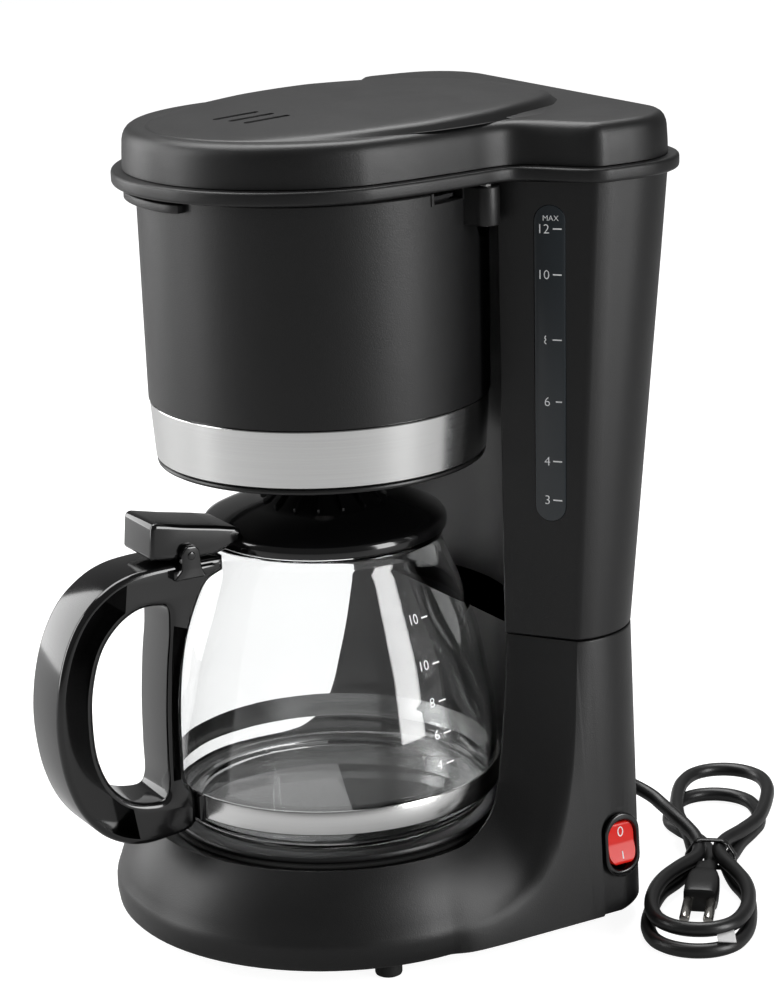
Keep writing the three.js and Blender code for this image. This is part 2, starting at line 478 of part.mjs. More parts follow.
add('riser_tube', turn([[2.6, 100], [4.2, 100], [4.2, 112], [5.2, 113], [5.2, 121.7], [8, 121.7], [8, 124], [4.4, 124.2], [4.4, 298.4], [2.6, 298.4], [2.6, 100]], 10, ...HOLE_OUT), 'white');
{
  const arm = tube([[16, 86, 298.9], [16, 86, 300.4], [15.4, 82.5, 303.6], [10, 58, 305.2], [3, 22, 305], [0.6, 8, 304.6]], 4.4, 8, 9);
  const head = turn([[0, 300.6], [16, 300.6], [17.4, 301.6], [14, 304.4], [6, 307], [0, 307.2]], 14);
  add('spray_arm', join(arm, head), 'white');
}
[['hose_clamp_1', ...HOLE_IN, 104.5], ['hose_clamp_2', ...HOLE_OUT, 104.5]].forEach(([n, x, y, z]) => add(n, ring(6.3, 7.3, z - 8, z - 5, 10, x, y), 'steel'));
[['hose_clamp_3', 13], ['hose_clamp_4', -13]].forEach(([n, x]) => {
  const g = ring(6.6, 7.6, -1.6, 1.6, 10); g.rotateX(Math.PI / 2); g.translate(x, 75.6, 29.05);
  add(n, g, 'steel');
});

// ---------------------------------------------------------------- switch
{
  const [sx, sy, sz] = SWITCH;
  const lean = (g) => { g.rotateY(-3.55 * D2R); g.translate(sx, sy, sz); return g; };
  const st = (hw, hh) => stadium(hw, hh, 0, 0);
  let body = join(prismX(st(7.9, 12.9), 0.0, 1.1), prismX(st(6.6, 11.6), -13, 0.5));
  body = cut(body, prismX(st(6.4, 10.1), -9.5, 3));
  add('switch_body', lean(body), 'gloss');
  const piv = -5;
  const xz = [[5.5, 8.6], [4.5, 0], [5.5, -8.6], [1.5, -7.4], [-2.6, -3.2], [-2.6, 3.2], [1.5, 7.4]];
  let rk = prismY(xz, -6, 6);
  rk = both(rk, prismX(st(6.0, 9.3), -20, 20));
  rk.rotateY(-7 * D2R);
  rk.translate(piv, 0, 0);
  add('rocker', lean(rk), 'red');
}
add('wire_live', tube([[75, 77, 32], [64, 80, 24], [46, 84, 15], [24, 86, 13], [9, 86, 16], [5.8, 87.6, 22.5], [5.8, 90.1, 24]], 1.2, 6, 12), 'wire');
add('wire_neutral', tube([[2.4, 90.1, 23.4], [2.4, 87.6, 22.2], [1.4, 78, 15], [0, 40, 12.6], [0, 0, 12.6], [0, -20, 15], [0, -24, 18.7]], 1.2, 6, 12), 'wire');

// ---------------------------------------------------------------- mains lead
{
  const [gx, gy, gz] = GLAND;
  // tapered strain relief through the rear wall
  const g = turn([[0, 0], [4.5, 0], [4.5, 3.2], [5.6, 4.0], [5.6, 8.7], [7.6, 9.0], [7.6, 11.0], [5.4, 12], [4.0, 34], [0, 34]], 12);
  g.rotateX(-Math.PI / 2);
  g.translate(gx, gy - 7.9 + 0.2, gz);
  add('strain_relief', g, 'cord');
}
const hu = (u, v, z) => [TIE[0] + HANK_U[0] * u + HANK_V[0] * v, TIE[1] + HANK_U[1] * u + HANK_V[1] * v, z];
const LEAD = [[4, 125.2, 24], [4.1, 128, 23.8], [6, 132.4, 21.6], [11.5, 135.8, 17.6], [20, 136.4, 14], [30, 136, 12.4], [39.5, 136, 12.3]];
add('cord_lead', tube(LEAD, CORD_D / 2, 8, 12), 'cord');
function hankRing(sgn, len, hw, hh, holeU0, holeU1, holeHw) {
  const out = [], n = 10;
  for (let i = 0; i <= n; i++) { const t = i / n; const u = 6 + (len - hw - 6) * t, v = 9.6 + (hw - 9.6) * Math.sin(Math.min(1, t * 1.35) * Math.PI / 2); out.push([u, v]); }
  for (let i = 1; i < 8; i++) { const a = Math.PI / 2 - i / 8 * Math.PI; out.push([len - hw + hw * Math.cos(a), hw * Math.sin(a)]); }
  for (let i = n; i >= 0; i--) { const t = i / n; const u = 6 + (len - hw - 6) * t, v = 9.6 + (hw - 9.6) * Math.sin(Math.min(1, t * 1.35) * Math.PI / 2); out.push([u, -v]); }
  const hole = [[holeU0, holeHw], [holeU0, -holeHw]];
  for (let i = 0; i <= 8; i++) { const a = -Math.PI / 2 + i / 8 * Math.PI; hole.push([holeU1 - holeHw + holeHw * Math.cos(a), holeHw * Math.sin(a)]); }
  const map = (p) => { const q = hu(sgn * p[0], p[1], 0); return [q[0], q[1]]; };
  return prism(out.map(map), 0.0, hh, [hole.map(map)]);
}
add('cord_hank_near', hankRing(1, 92, 22, 11.8, 12.5, 80, 9.6), 'cord');
add('cord_hank_far', hankRing(-1, 92, 23, 11.8, 30, 76, 6.5), 'cord');
{
  const map = (p) => { const q = hu(p[0], p[1], 0); return [q[0], q[1]]; };
  const t = [[-5.6, -9.9], [5.6, -9.9], [5.6, 9.9], [-5.6, 9.9]].map(map);
  add('cord_tie', prism(t, 0.0, 13.2), 'cord');
  const b = [[13.2, -3.2], [26, -4.0], [33, -6.4], [45, -6.8], [46.4, -6.2], [46.4, 6.2], [45, 6.8], [33, 6.4], [26, 4.0], [13.2, 3.2]].map((p) => map([p[0], p[1] - 0.6]));
  add('plug_body', prism(b, 0.6, 11.4), 'cord');
  for (const [i, v] of [[1, -5.2], [2, 4.0]]) {
    const g = rod(2, 0, 18, 10); g.rotateY(Math.PI / 2);
    g.applyMatrix4(new THREE.Matrix4().makeRotationZ(Math.atan2(HANK_U[1], HANK_U[0])));
    const o = hu(46.7, v, 6); g.translate(...o);
    add('plug_pin_' + i, g, 'steel');
  }
}

// ---------------------------------------------------------------- swing-out filter holder
{
  // outer: rim, cone, band seat; inner: cup with a drip hole in the floor
  const prof = [[6, 187.5], [61.8, 187.5], [62.9, 209.7], [65.4, 209.9], [66.2, HOLDER_TOP], [63.6, HOLDER_TOP], [62.7, 210.5], [59.6, 190.4], [6, 190.4], [6, 187.5]];
  let h = turn(prof, 32);
  const a0 = -113, a1 = -74, tab = [];
  for (let i = 0; i <= 5; i++) { const a = (a0 + (a1 - a0) * i / 5) * D2R; tab.push([71.6 * Math.cos(a), 71.6 * Math.sin(a)]); }
  for (let i = 5; i >= 0; i--) { const a = (a0 + (a1 - a0) * i / 5) * D2R; tab.push([64.8 * Math.cos(a), 64.8 * Math.sin(a)]); }
  const lugR = 5, ha = Math.atan2(HINGE[1], HINGE[0]), un = [Math.cos(ha), Math.sin(ha)], vn = [-un[1], un[0]];
  const q = (a, b) => [un[0] * a + vn[0] * b, un[1] * a + vn[1] * b];
  h = join(h, prism(tab, 287.4, HOLDER_TOP), prism(circle(lugR, 14, ...HINGE), 278, HOLDER_TOP), prism([q(64.5, -4.9), q(72.7, -4.9), q(72.7, 4.9), q(64.5, 4.9)], 278, HOLDER_TOP));
  h = cut(h, rod(2.3, 270, 300, 12, ...HINGE));
  add('filter_holder', h, 'housing');
  add('steel_band', turn([[62.1, BAND_Z0], [63.4, BAND_Z0], [65.0, BAND_Z1], [63.35, BAND_Z1], [62.1, BAND_Z0]].map(([r, z], i) => (i === 0 || i === 4 ? [62.15, z] : i === 3 ? [63.3, z] : [r, z])), 32), 'steel');
  add('holder_trim', turn([[54, 185], [62.6, 185], [63.2, 185.8], [63.2, 187.0], [54, 187.0], [54, 185]], 32), 'housing');
  add('valve_cage', cut(turn([[10.4, 190.7], [12.2, 190.7], [12.2, 202], [3.0, 202], [3.0, 200.4], [10.4, 200.4], [10.4, 190.7]], 12), box(-20, 20, -3, 3, 192.5, 199), box(-3, 3, -20, 20, 192.5, 199)), 'white');
  add('filter_basket', turn([[30, 208], [46, 208], [61.2, 288.6], [62.6, 288.9], [62.6, 290.2], [59.6, 290.2], [44.8, 209.8], [30, 209.8], [30, 208]], 28), 'basket');
  add('mesh_filter', turn([[0, 210.4], [43.6, 210.4], [56.6, 279], [55.6, 279], [42.6, 211.4], [0, 211.4]], 24), 'mesh');
}
add('drip_valve', turn([[0, 183.8], [2.6, 184.1], [4.4, 185.4], [4.4, 190.6], [9, 190.8], [9, 192.4], [2.5, 192.8], [2.5, 206], [0, 206.4]], 12), 'rubber');
{
  const pts = []; const turns = 3, r = 6, z0 = 193.5, z1 = 199.7, n = turns * 12;
  for (let i = 0; i <= n; i++) { const a = i / 12 * 2 * Math.PI; pts.push([r * Math.cos(a), r * Math.sin(a), z0 + (z1 - z0) * i / n]); }
  add('valve_spring', tube(pts, 0.5, 5, 26), 'steel');
}

// ---------------------------------------------------------------- jug
const JUG = [[61.0, 44.2], [63.5, 49], [64.9, 62], [65.2, 73], [64.4, 83], [62.5, 93], [58.9, 112], [53, 130], [47, 146], [45.2, 150], [46.2, 154.6]];
{
  const inner = [...JUG].reverse().map(([r, z]) => [r - 2.2, z < 45 ? 47 : z]);
  inner[0] = [44.2, 154.6];
  inner[1] = [43.0, 150];
  const prof = [[0, 45.2], [52, 44.8], [56, 44.0], ...JUG, ...inner.slice(0, -2), [60.6, 49.4], [56, 46.9], [0, 47.4]];
  add('glass_jug', turn(prof, 28), 'glass');
}
{
  let band = ring(65.6, 66.4, 53, 62.6, 28);
  add('jug_band', band, 'steel');
}
{
  const outer = [[-50.5, 155], [-81, 155.2], [-90, 153.8], [-98, 150.8], [-108, 143.2], [-115, 132.5], [-119.6, 119], [-122, 104], [-121.8, 92], [-119.2, 77.5], [-114, 64.5], [-106, 54.5], [-97, 49], [-88, 46.8], [-73, 48], [-67, 51], [-67, 64], [-70.4, 68], [-71, 80], [-70.4, 102], [-67.6, 122], [-63, 136], [-57.4, 146], [-50.5, 149]];
  const gap = [[-74.6, 139.4], [-86, 140.2], [-94, 136], [-101.5, 127.4], [-106.2, 113], [-107.4, 98], [-105.8, 84], [-101.2, 73], [-94, 65.8], [-85, 62.6], [-77.8, 64], [-77.4, 78], [-77.2, 98], [-75.8, 116], [-74, 130]];
  let h = prismX(outer, -12.4, 12.4, [gap]);
  const ear = (x0, x1) => prismX([[-71.5, 148], [-59.5, 148], [-59.5, 157], [-61.5, 161.2], [-65.5, 162.4], [-69.5, 161.2], [-71.5, 157]], x0, x1);
  h = join(h, ear(12.7, 15.6), ear(-15.6, -12.7), prismX([[-71.5, 149.2], [-59.5, 149.2], [-59.5, 154.2], [-71.5, 154.2]], -15.6, 15.6));
  h = cut(h, prismX(circle(1.5, 10, ...JUG_LID_AXIS), -14.6, 14.6));
  const hole = rod(1.9, 0, 14, 10); hole.rotateX(Math.PI / 2); hole.translate(0, -66, 57.6);
  h = cut(h, hole);
  add('jug_handle', h, 'gloss');
  add('jug_lid_pin', prismX(circle(1.2, 10, ...JUG_LID_AXIS), -14.3, 14.3), 'steel');
  const s = turn([[0, 0], [1.5, 0], [1.5, 12], [3.6, 12], [3.4, 13.6], [0, 14.2]].map(([r, z]) => [r, z]), 12);
  s.rotateX(-Math.PI / 2);            // head towards +Y, under the band; shank into the handle
  s.translate(0, -78.6, 57.6);
  const head = both(s, box(-10, 10, -90, -66.5, 40, 70));
  add('jug_band_screw', head, 'steel');
}
{
  // domed lid with a raised middle hub and a thumb lever over the handle
  const prof = [[4.6, 170.5], [4.6, 178], [12, 178], [15, 176.2], [23, 168.6], [38, 163.6], [44.6, 160.4], [47.6, 157.6], [47.6, 155.3], [43.6, 155.3], [42.6, 157.6], [24, 165.4], [4.6, 170.5]];
  let lid = turn(prof, 28);
  const lever = prismX([[-80.6, 160.2], [-79.2, 173], [-66, 170.8], [-45, 165.6], [-40, 162.8], [-41, 159.5], [-53, 155.9], [-62, 155.7], [-70, 156.4], [-79.8, 158.4]], -12.2, 12.2);
  const keep = both(lever, box(-20, 20, -90, -43.8, 150, 180));
  lid = join(lid, keep);
  lid = cut(lid, prismX(circle(1.5, 10, ...JUG_LID_AXIS), -16, 16));
  add('jug_lid', lid, 'gloss');
}

export default root;
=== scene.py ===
"""Looks of the drip coffee maker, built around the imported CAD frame. Blender 4.5."""
import math
import bpy
import bmesh
import numpy as np
from mathutils import Matrix, Vector


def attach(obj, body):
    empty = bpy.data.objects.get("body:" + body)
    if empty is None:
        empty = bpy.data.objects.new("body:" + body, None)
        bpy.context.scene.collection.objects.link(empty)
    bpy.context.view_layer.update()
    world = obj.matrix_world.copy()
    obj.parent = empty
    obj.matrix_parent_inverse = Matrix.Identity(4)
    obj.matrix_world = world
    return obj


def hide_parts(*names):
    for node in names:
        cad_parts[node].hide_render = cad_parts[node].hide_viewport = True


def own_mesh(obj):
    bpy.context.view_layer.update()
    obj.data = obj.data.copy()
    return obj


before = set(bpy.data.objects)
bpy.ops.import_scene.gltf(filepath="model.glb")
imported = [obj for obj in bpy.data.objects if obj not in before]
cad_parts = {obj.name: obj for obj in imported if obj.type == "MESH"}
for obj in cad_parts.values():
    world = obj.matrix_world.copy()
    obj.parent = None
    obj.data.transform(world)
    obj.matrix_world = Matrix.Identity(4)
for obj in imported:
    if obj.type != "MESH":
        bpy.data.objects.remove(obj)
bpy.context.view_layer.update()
SCN = bpy.context.scene
MM = 0.001
D2R = math.pi / 180


# ------------------------------------------------------------------ camera
def make_camera():
    a, D, H, f = 1.07127, 1080.065, 473.402, 2900.125
    pitch, roll, yaw = 0.2785, -0.03079, -0.02283
    az = a + yaw
    fwd = np.array([-math.sin(az) * math.cos(pitch), math.cos(az) * math.cos(pitch), -math.sin(pitch)])
    right = np.array([math.cos(az), math.sin(az), 0])
    up = np.cross(right, fwd)
    cr, sr = math.cos(roll), math.sin(roll)
    ri, ui = cr * right + sr * up, -sr * right + cr * up
    C = np.array([D * math.sin(a), -D * math.cos(a), H]) * MM
    m = Matrix(((ri[0], ui[0], -fwd[0], C[0]), (ri[1], ui[1], -fwd[1], C[1]), (ri[2], ui[2], -fwd[2], C[2]), (0, 0, 0, 1)))
    data = bpy.data.cameras.new("camera")
    cam = bpy.data.objects.new("camera", data)
    SCN.collection.objects.link(cam)
    cam.matrix_world = m
    data.sensor_width = 36
    data.sensor_fit = "AUTO"
    data.lens = f * 36 / 1000
    data.clip_start, data.clip_end = 0.01, 50
    SCN.camera = cam


make_camera()


# ------------------------------------------------------------------ mesh helpers
def link(name, me, body, mat=None, sharp=32, repl=()):
    ob = bpy.data.objects.new(name, me)
    SCN.collection.objects.link(ob)
    me.validate()
    bm = bmesh.new()
    bm.from_mesh(me)
    bmesh.ops.remove_doubles(bm, verts=bm.verts, dist=2e-6)
    bmesh.ops.dissolve_degenerate(bm, dist=1e-6, edges=bm.edges)
    bmesh.ops.recalc_face_normals(bm, faces=bm.faces)
    bm.to_mesh(me)
    bm.free()
    for p in me.polygons:
        p.use_smooth = True
    if sharp:
        me.set_sharp_from_angle(angle=sharp * D2R)
    if mat:
        me.materials.clear()
        me.materials.append(mat)
    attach(ob, body)
    if repl:
        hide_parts(*repl)
    return ob


def mesh_from(name, verts, faces):
    me = bpy.data.meshes.new(name)
    me.from_pydata([tuple(float(c) * MM for c in v) for v in verts], [], faces)
    return me


def loft(rings, closed=False, cap0=True, cap1=True, cyc=True):
    """rings: list of (n,3). closed joins the last ring to the first; otherwise n-gon caps."""
    n, m = len(rings[0]), len(rings)
    V = [p for r in rings for p in r]
    F = []
    for j in range(m if closed else m - 1):
        for i in range(n if cyc else n - 1):
            F.append((j * n + i, j * n + (i + 1) % n, ((j + 1) % m) * n + (i + 1) % n, ((j + 1) % m) * n + i))
    if not closed:
        if cap0:
            F.append(tuple(reversed(range(n))))
        if cap1:
            F.append(tuple((m - 1) * n + i for i in range(n)))
    return V, F


def lathe(prof, seg=128, cx=0, cy=0, mod=None):
    """closed profile of [r, z]; points on the axis make a pole."""
    V, F, idx = [], [], []
    for r, z in prof:
        if r < 1e-6:
            idx.append([len(V)] * seg)
            V.append((cx, cy, z))
        else:
            s = len(V)
            idx.append([s + k for k in range(seg)])
            for k in range(seg):
                a = 2 * math.pi * k / seg
                rr, zz = (r, z) if mod is None else mod(r, z, a)
                V.append((cx + rr * math.cos(a), cy + rr * math.sin(a), zz))
    m = len(prof)
    on_axis = prof[0][0] < 1e-6 and prof[-1][0] < 1e-6
    for j in range(m - 1 if on_axis else m):
        A, B = idx[j], idx[(j + 1) % m]
        for k in range(seg):
            q = [A[k], A[(k + 1) % seg], B[(k + 1) % seg], B[k]]
            u = []
            for x in q:
                if x not in u:
                    u.append(x)
            if len(u) > 2:
                F.append(tuple(u))
    return V, F


def fillet(pts, rs, n=5, closed=True):
    """round the corners of a 2-D (or 3-D) polyline; rs is one radius or one per point."""
    P = [np.array(p, float) for p in pts]
    N = len(P)
    R = rs if hasattr(rs, "__len__") else [rs] * N
    out = []
    for i in range(N):
        if not closed and i in (0, N - 1):
            out.append(P[i])
            continue
        a, b, c = P[i - 1], P[i], P[(i + 1) % N]
        u, w = a - b, c - b
        lu, lw = np.linalg.norm(u), np.linalg.norm(w)
        if lu < 1e-9 or lw < 1e-9 or R[i] <= 0:
            out.append(b)
            continue
        u, w = u / lu, w / lw
        cosang = max(-1, min(1, float(u @ w)))
        ang = math.acos(cosang)
        if ang > math.pi - 0.03:
            out.append(b)
            continue
        t = min(R[i] / math.tan(ang / 2), 0.48 * lu, 0.48 * lw)
        p0, p1 = b + u * t, b + w * t
        for k in range(n + 1):
            s = k / n
            out.append((1 - s) ** 2 * p0 + 2 * s * (1 - s) * (b * 0.86 + (p0 + p1) * 0.07) + s * s * p1)
    return out


def offset(pts, d):
    P = np.array([p[:2] for p in pts], float)
    area = 0.5 * np.sum(P[:, 0] * np.roll(P[:, 1], -1) - P[:, 1] * np.roll(P[:, 0], -1))
    s = 1 if area > 0 else -1
    e = np.roll(P, -1, 0) - P
    e /= np.maximum(np.linalg.norm(e, axis=1, keepdims=True), 1e-9)
    nrm = np.stack([-e[:, 1], e[:, 0]], 1) * s
    n0 = np.roll(nrm, 1, 0)
    k = np.maximum(0.35, 1 + np.sum(n0 * nrm, 1, keepdims=True))
    return P + (n0 + nrm) / k * d


def at(pts, z):
    return [(p[0], p[1], z) for p in pts]


def catmull(pts, sub, closed=False):
    P = np.array(pts, float)
    n = len(P)
    out = []
    rng = range(n) if closed else range(n - 1)
    for i in rng:
        p1, p2 = P[i], P[(i + 1) % n]
        p0 = P[(i - 1) % n] if closed or i > 0 else 2 * p1 - p2
        p3 = P[(i + 2) % n] if closed or i < n - 2 else 2 * p2 - p1
        t0, t1 = 0, np.linalg.norm(p1 - p0) ** 0.5 + 1e-9
        t2 = t1 + np.linalg.norm(p2 - p1) ** 0.5 + 1e-9
        t3 = t2 + np.linalg.norm(p3 - p2) ** 0.5 + 1e-9
        for k in range(sub):
            t = t1 + (t2 - t1) * k / sub
            A1 = (t1 - t) / (t1 - t0) * p0 + (t - t0) / (t1 - t0) * p1
            A2 = (t2 - t) / (t2 - t1) * p1 + (t - t1) / (t2 - t1) * p2
            A3 = (t3 - t) / (t3 - t2) * p2 + (t - t2) / (t3 - t2) * p3
            B1 = (t2 - t) / (t2 - t0) * A1 + (t - t0) / (t2 - t0) * A2
            B2 = (t3 - t) / (t3 - t1) * A2 + (t - t1) / (t3 - t1) * A3
            out.append((t2 - t) / (t2 - t1) * B1 + (t - t1) / (t2 - t1) * B2)
    if not closed:
        out.append(P[-1])
    return np.array(out)


def sweep(path, section, closed=False, up=(0, 0, 1)):
    """section: 2-D points (side, up) carried along the path; ends capped when open."""
    P = np.array(path, float)
    n = len(P)
    rings = []
    prev = None
    for i in range(n):
        t = P[(i + 1) % n] - P[i - 1] if closed or 0 < i < n - 1 else (P[1] - P[0] if i == 0 else P[-1] - P[-2])
        t = t / np.linalg.norm(t)
        s = np.cross(t, np.array(up, float)) if prev is None else prev - t * (prev @ t)
        if np.linalg.norm(s) < 1e-6:
            s = np.cross(t, (1, 0, 0))
        s = s / np.linalg.norm(s)
        w = np.cross(s, t)
        prev = s
        rings.append([P[i] + s * a + w * b for a, b in section])
    return loft(rings, closed=closed)


def circ(r, n=24, cx=0, cy=0, a0=0.0):
    return [(cx + r * math.cos(a0 + 2 * math.pi * i / n), cy + r * math.sin(a0 + 2 * math.pi * i / n)) for i in range(n)]


def plate(name, outline, holes, z0, z1, bevel, res=3):
    """a flat plate with holes and rounded edges, from a filled plan curve; returns a mesh in metres"""
    cu = bpy.data.curves.new(name, "CURVE")
    cu.dimensions = "2D"
    cu.fill_mode = "BOTH"
    for pts in [outline] + list(holes):
        sp = cu.splines.new("POLY")
        sp.points.add(len(pts) - 1)
        for q, p in zip(sp.points, pts):
            q.co = (p[0] * MM, p[1] * MM, 0, 1)
        sp.use_cyclic_u = True
    cu.extrude = ((z1 - z0) / 2 - bevel) * MM
    cu.bevel_depth = bevel * MM
    cu.bevel_resolution = res
    cu.offset = -bevel * MM
    ob = bpy.data.objects.new(name + "_c", cu)
    SCN.collection.objects.link(ob)
    bpy.context.view_layer.update()
    me = bpy.data.meshes.new_from_object(ob.evaluated_get(bpy.context.evaluated_depsgraph_get()))
    bpy.data.objects.remove(ob)
    me.transform(Matrix.Translation((0, 0, (z0 + z1) / 2 * MM)))
    bm = bmesh.new()
    bm.from_mesh(me)
    bmesh.ops.remove_doubles(bm, verts=bm.verts, dist=3e-6)
    bm.to_mesh(me)
    bm.free()
    return me


# plan (a, b) and thickness axis c -> world: extrusion along X from (y, z) outlines
YZ_TO_X = Matrix(((0, 0, 1, 0), (1, 0, 0, 0), (0, 1, 0, 0), (0, 0, 0, 1)))


def boolean(ob, cutters, op="DIFFERENCE"):
    """cut or join with temporary meshes, applied at once"""
    tmp = []
    for me in cutters:
        c = bpy.data.objects.new("tmp", me)
        SCN.collection.objects.link(c)
        tmp.append(c)
        md = ob.modifiers.new("b", "BOOLEAN")
        md.operation = op
        md.object = c
        md.solver = "EXACT"
    bpy.context.view_layer.update()
    me = bpy.data.meshes.new_from_object(ob.evaluated_get(bpy.context.evaluated_depsgraph_get()))
    ob.modifiers.clear()
    ob.data = me
    for c in tmp:
        bpy.data.objects.remove(c)


def temp(me):
    ob = bpy.data.objects.new("work", me)
    SCN.collection.objects.link(ob)
    return ob


def take(ob):
    me = ob.data
    bpy.data.objects.remove(ob)
    return me


# ------------------------------------------------------------------ materials
def mat(name, color, rough, metal=0.0, bump=None, coat=0.0, var=0.0, rvar=0.0, spec=0.5, **kw):
    """procedural material: base colour with slight variation, roughness variation, fine bump"""
    m = bpy.data.materials.new(name)
    m.use_nodes = True
    nt = m.node_tree
    nt.nodes.clear()
    out = nt.nodes.new("ShaderNodeOutputMaterial")
    b = nt.nodes.new("ShaderNodeBsdfPrincipled")
    nt.links.new(b.outputs[0], out.inputs[0])
    tc = nt.nodes.new("ShaderNodeTexCoord")
    b.inputs["Metallic"].default_value = metal
    b.inputs["Specular IOR Level"].default_value = spec
    if coat:
        b.inputs["Coat Weight"].default_value = coat
        b.inputs["Coat Roughness"].default_value = kw.get("coat_rough", 0.08)
    b.inputs["Base Color"].default_value = (*color, 1)
    if var:
        n = nt.nodes.new("ShaderNodeTexNoise")
        n.inputs["Scale"].default_value = kw.get("var_scale", 35)
        n.inputs["Detail"].default_value = 5
        nt.links.new(tc.outputs["Object"], n.inputs["Vector"])
        r = nt.nodes.new("ShaderNodeValToRGB")
        r.color_ramp.elements[0].color = (*[c * (1 - var) for c in color], 1)
        r.color_ramp.elements[1].color = (*[min(1, c * (1 + var)) for c in color], 1)
        nt.links.new(n.outputs["Fac"], r.inputs[0])
        nt.links.new(r.outputs[0], b.inputs["Base Color"])
    b.inputs["Roughness"].default_value = rough
    if rvar:
        n = nt.nodes.new("ShaderNodeTexNoise")
        n.inputs["Scale"].default_value = kw.get("rvar_scale", 60)
        n.inputs["Detail"].default_value = 6
        nt.links.new(tc.outputs["Object"], n.inputs["Vector"])
        mr = nt.nodes.new("ShaderNodeMapRange")
        mr.inputs["To Min"].default_value = max(0, rough - rvar)
        mr.inputs["To Max"].default_value = min(1, rough + rvar)
        nt.links.new(n.outputs["Fac"], mr.inputs["Value"])
        nt.links.new(mr.outputs[0], b.inputs["Roughness"])
    if bump:
        scale, strength, dist = bump
        n = nt.nodes.new("ShaderNodeTexNoise")
        n.inputs["Scale"].default_value = scale
        n.inputs["Detail"].default_value = 3
        nt.links.new(tc.outputs["Object"], n.inputs["Vector"])
        bp = nt.nodes.new("ShaderNodeBump")
        bp.inputs["Strength"].default_value = strength
        bp.inputs["Distance"].default_value = dist
        nt.links.new(n.outputs["Fac"], bp.inputs["Height"])
        nt.links.new(bp.outputs[0], b.inputs["Normal"])
    return m


M = {}
M["housing"] = mat("housing", (0.0036, 0.0036, 0.0038), 0.42, bump=(1900, 0.22, 0.00025), var=0.25, rvar=0.05, spec=0.46, var_scale=500)
M["gauge"] = M["housing"]
M["gloss"] = mat("gloss", (0.003, 0.003, 0.0032), 0.13, bump=(45, 0.04, 0.0006), rvar=0.04, coat=0.3, var=0.1)
M["satin"] = mat("satin", (0.006, 0.006, 0.006), 0.34, bump=(900, 0.12, 0.0002), rvar=0.06, var=0.1)
M["rubber"] = mat("rubber", (0.007, 0.007, 0.007), 0.75, bump=(1200, 0.25, 0.0002), rvar=0.08, var=0.2)
M["cord"] = mat("cord", (0.006, 0.006, 0.0062), 0.38, bump=(260, 0.10, 0.0003), rvar=0.07, var=0.15, coat=0.05)
M["window"] = mat("window", (0.014, 0.019, 0.023), 0.20, bump=(300, 0.04, 0.0002), rvar=0.05, var=0.12, coat=0.2)
M["hose"] = mat("hose", (0.62, 0.60, 0.55), 0.5, bump=(300, 0.1, 0.0003), rvar=0.08, var=0.05)
M["white"] = mat("white", (0.72, 0.70, 0.64), 0.45, bump=(600, 0.1, 0.0002), rvar=0.06, var=0.04)
M["mark"] = mat("mark", (0.86, 0.87, 0.88), 0.5, bump=(800, 0.05, 0.0001), rvar=0.05, var=0.04)
M["basket"] = mat("basket", (0.02, 0.02, 0.021), 0.42, bump=(900, 0.15, 0.0002), rvar=0.06, var=0.1)
M["silicone"] = mat("silicone", (0.30, 0.29, 0.28), 0.55, bump=(500, 0.1, 0.0002), rvar=0.06, var=0.06)
M["wire"] = mat("wire", (0.40, 0.03, 0.02), 0.5, bump=(500, 0.1, 0.0002), rvar=0.06, var=0.06)
M["plate"] = mat("plate", (0.018, 0.018, 0.0185), 0.36, metal=0.2, bump=(700, 0.2, 0.0003), rvar=0.08, var=0.2)
M["aluminium"] = mat("aluminium", (0.62, 0.62, 0.63), 0.42, metal=1, bump=(500, 0.3, 0.0004), rvar=0.1, var=0.06)
M["zinc"] = mat("zinc", (0.55, 0.55, 0.54), 0.34, metal=1, bump=(400, 0.15, 0.0002), rvar=0.1, var=0.06)
M["brass"] = mat("brass", (0.60, 0.58, 0.54), 0.25, metal=1, bump=(400, 0.08, 0.0002), rvar=0.08, var=0.05)
M["glowing_glassmark"] = mat("glowing_glassmark", (0.86, 0.87, 0.88), 0.6, bump=(800, 0.05, 0.0001), rvar=0.05, var=0.03)
# painted glow: a white emission makes the jug's printed marks shine brighter than the lamps light them
M["glowing_glassmark"].node_tree.nodes["Principled BSDF"].inputs["Emission Color"].default_value = (1, 1, 1, 1)
M["glowing_glassmark"].node_tree.nodes["Principled BSDF"].inputs["Emission Strength"].default_value = 0.35
M["tag"] = mat("tag", (0.62, 0.62, 0.62), 0.6, bump=(500, 0.2, 0.0002), rvar=0.08, var=0.05)


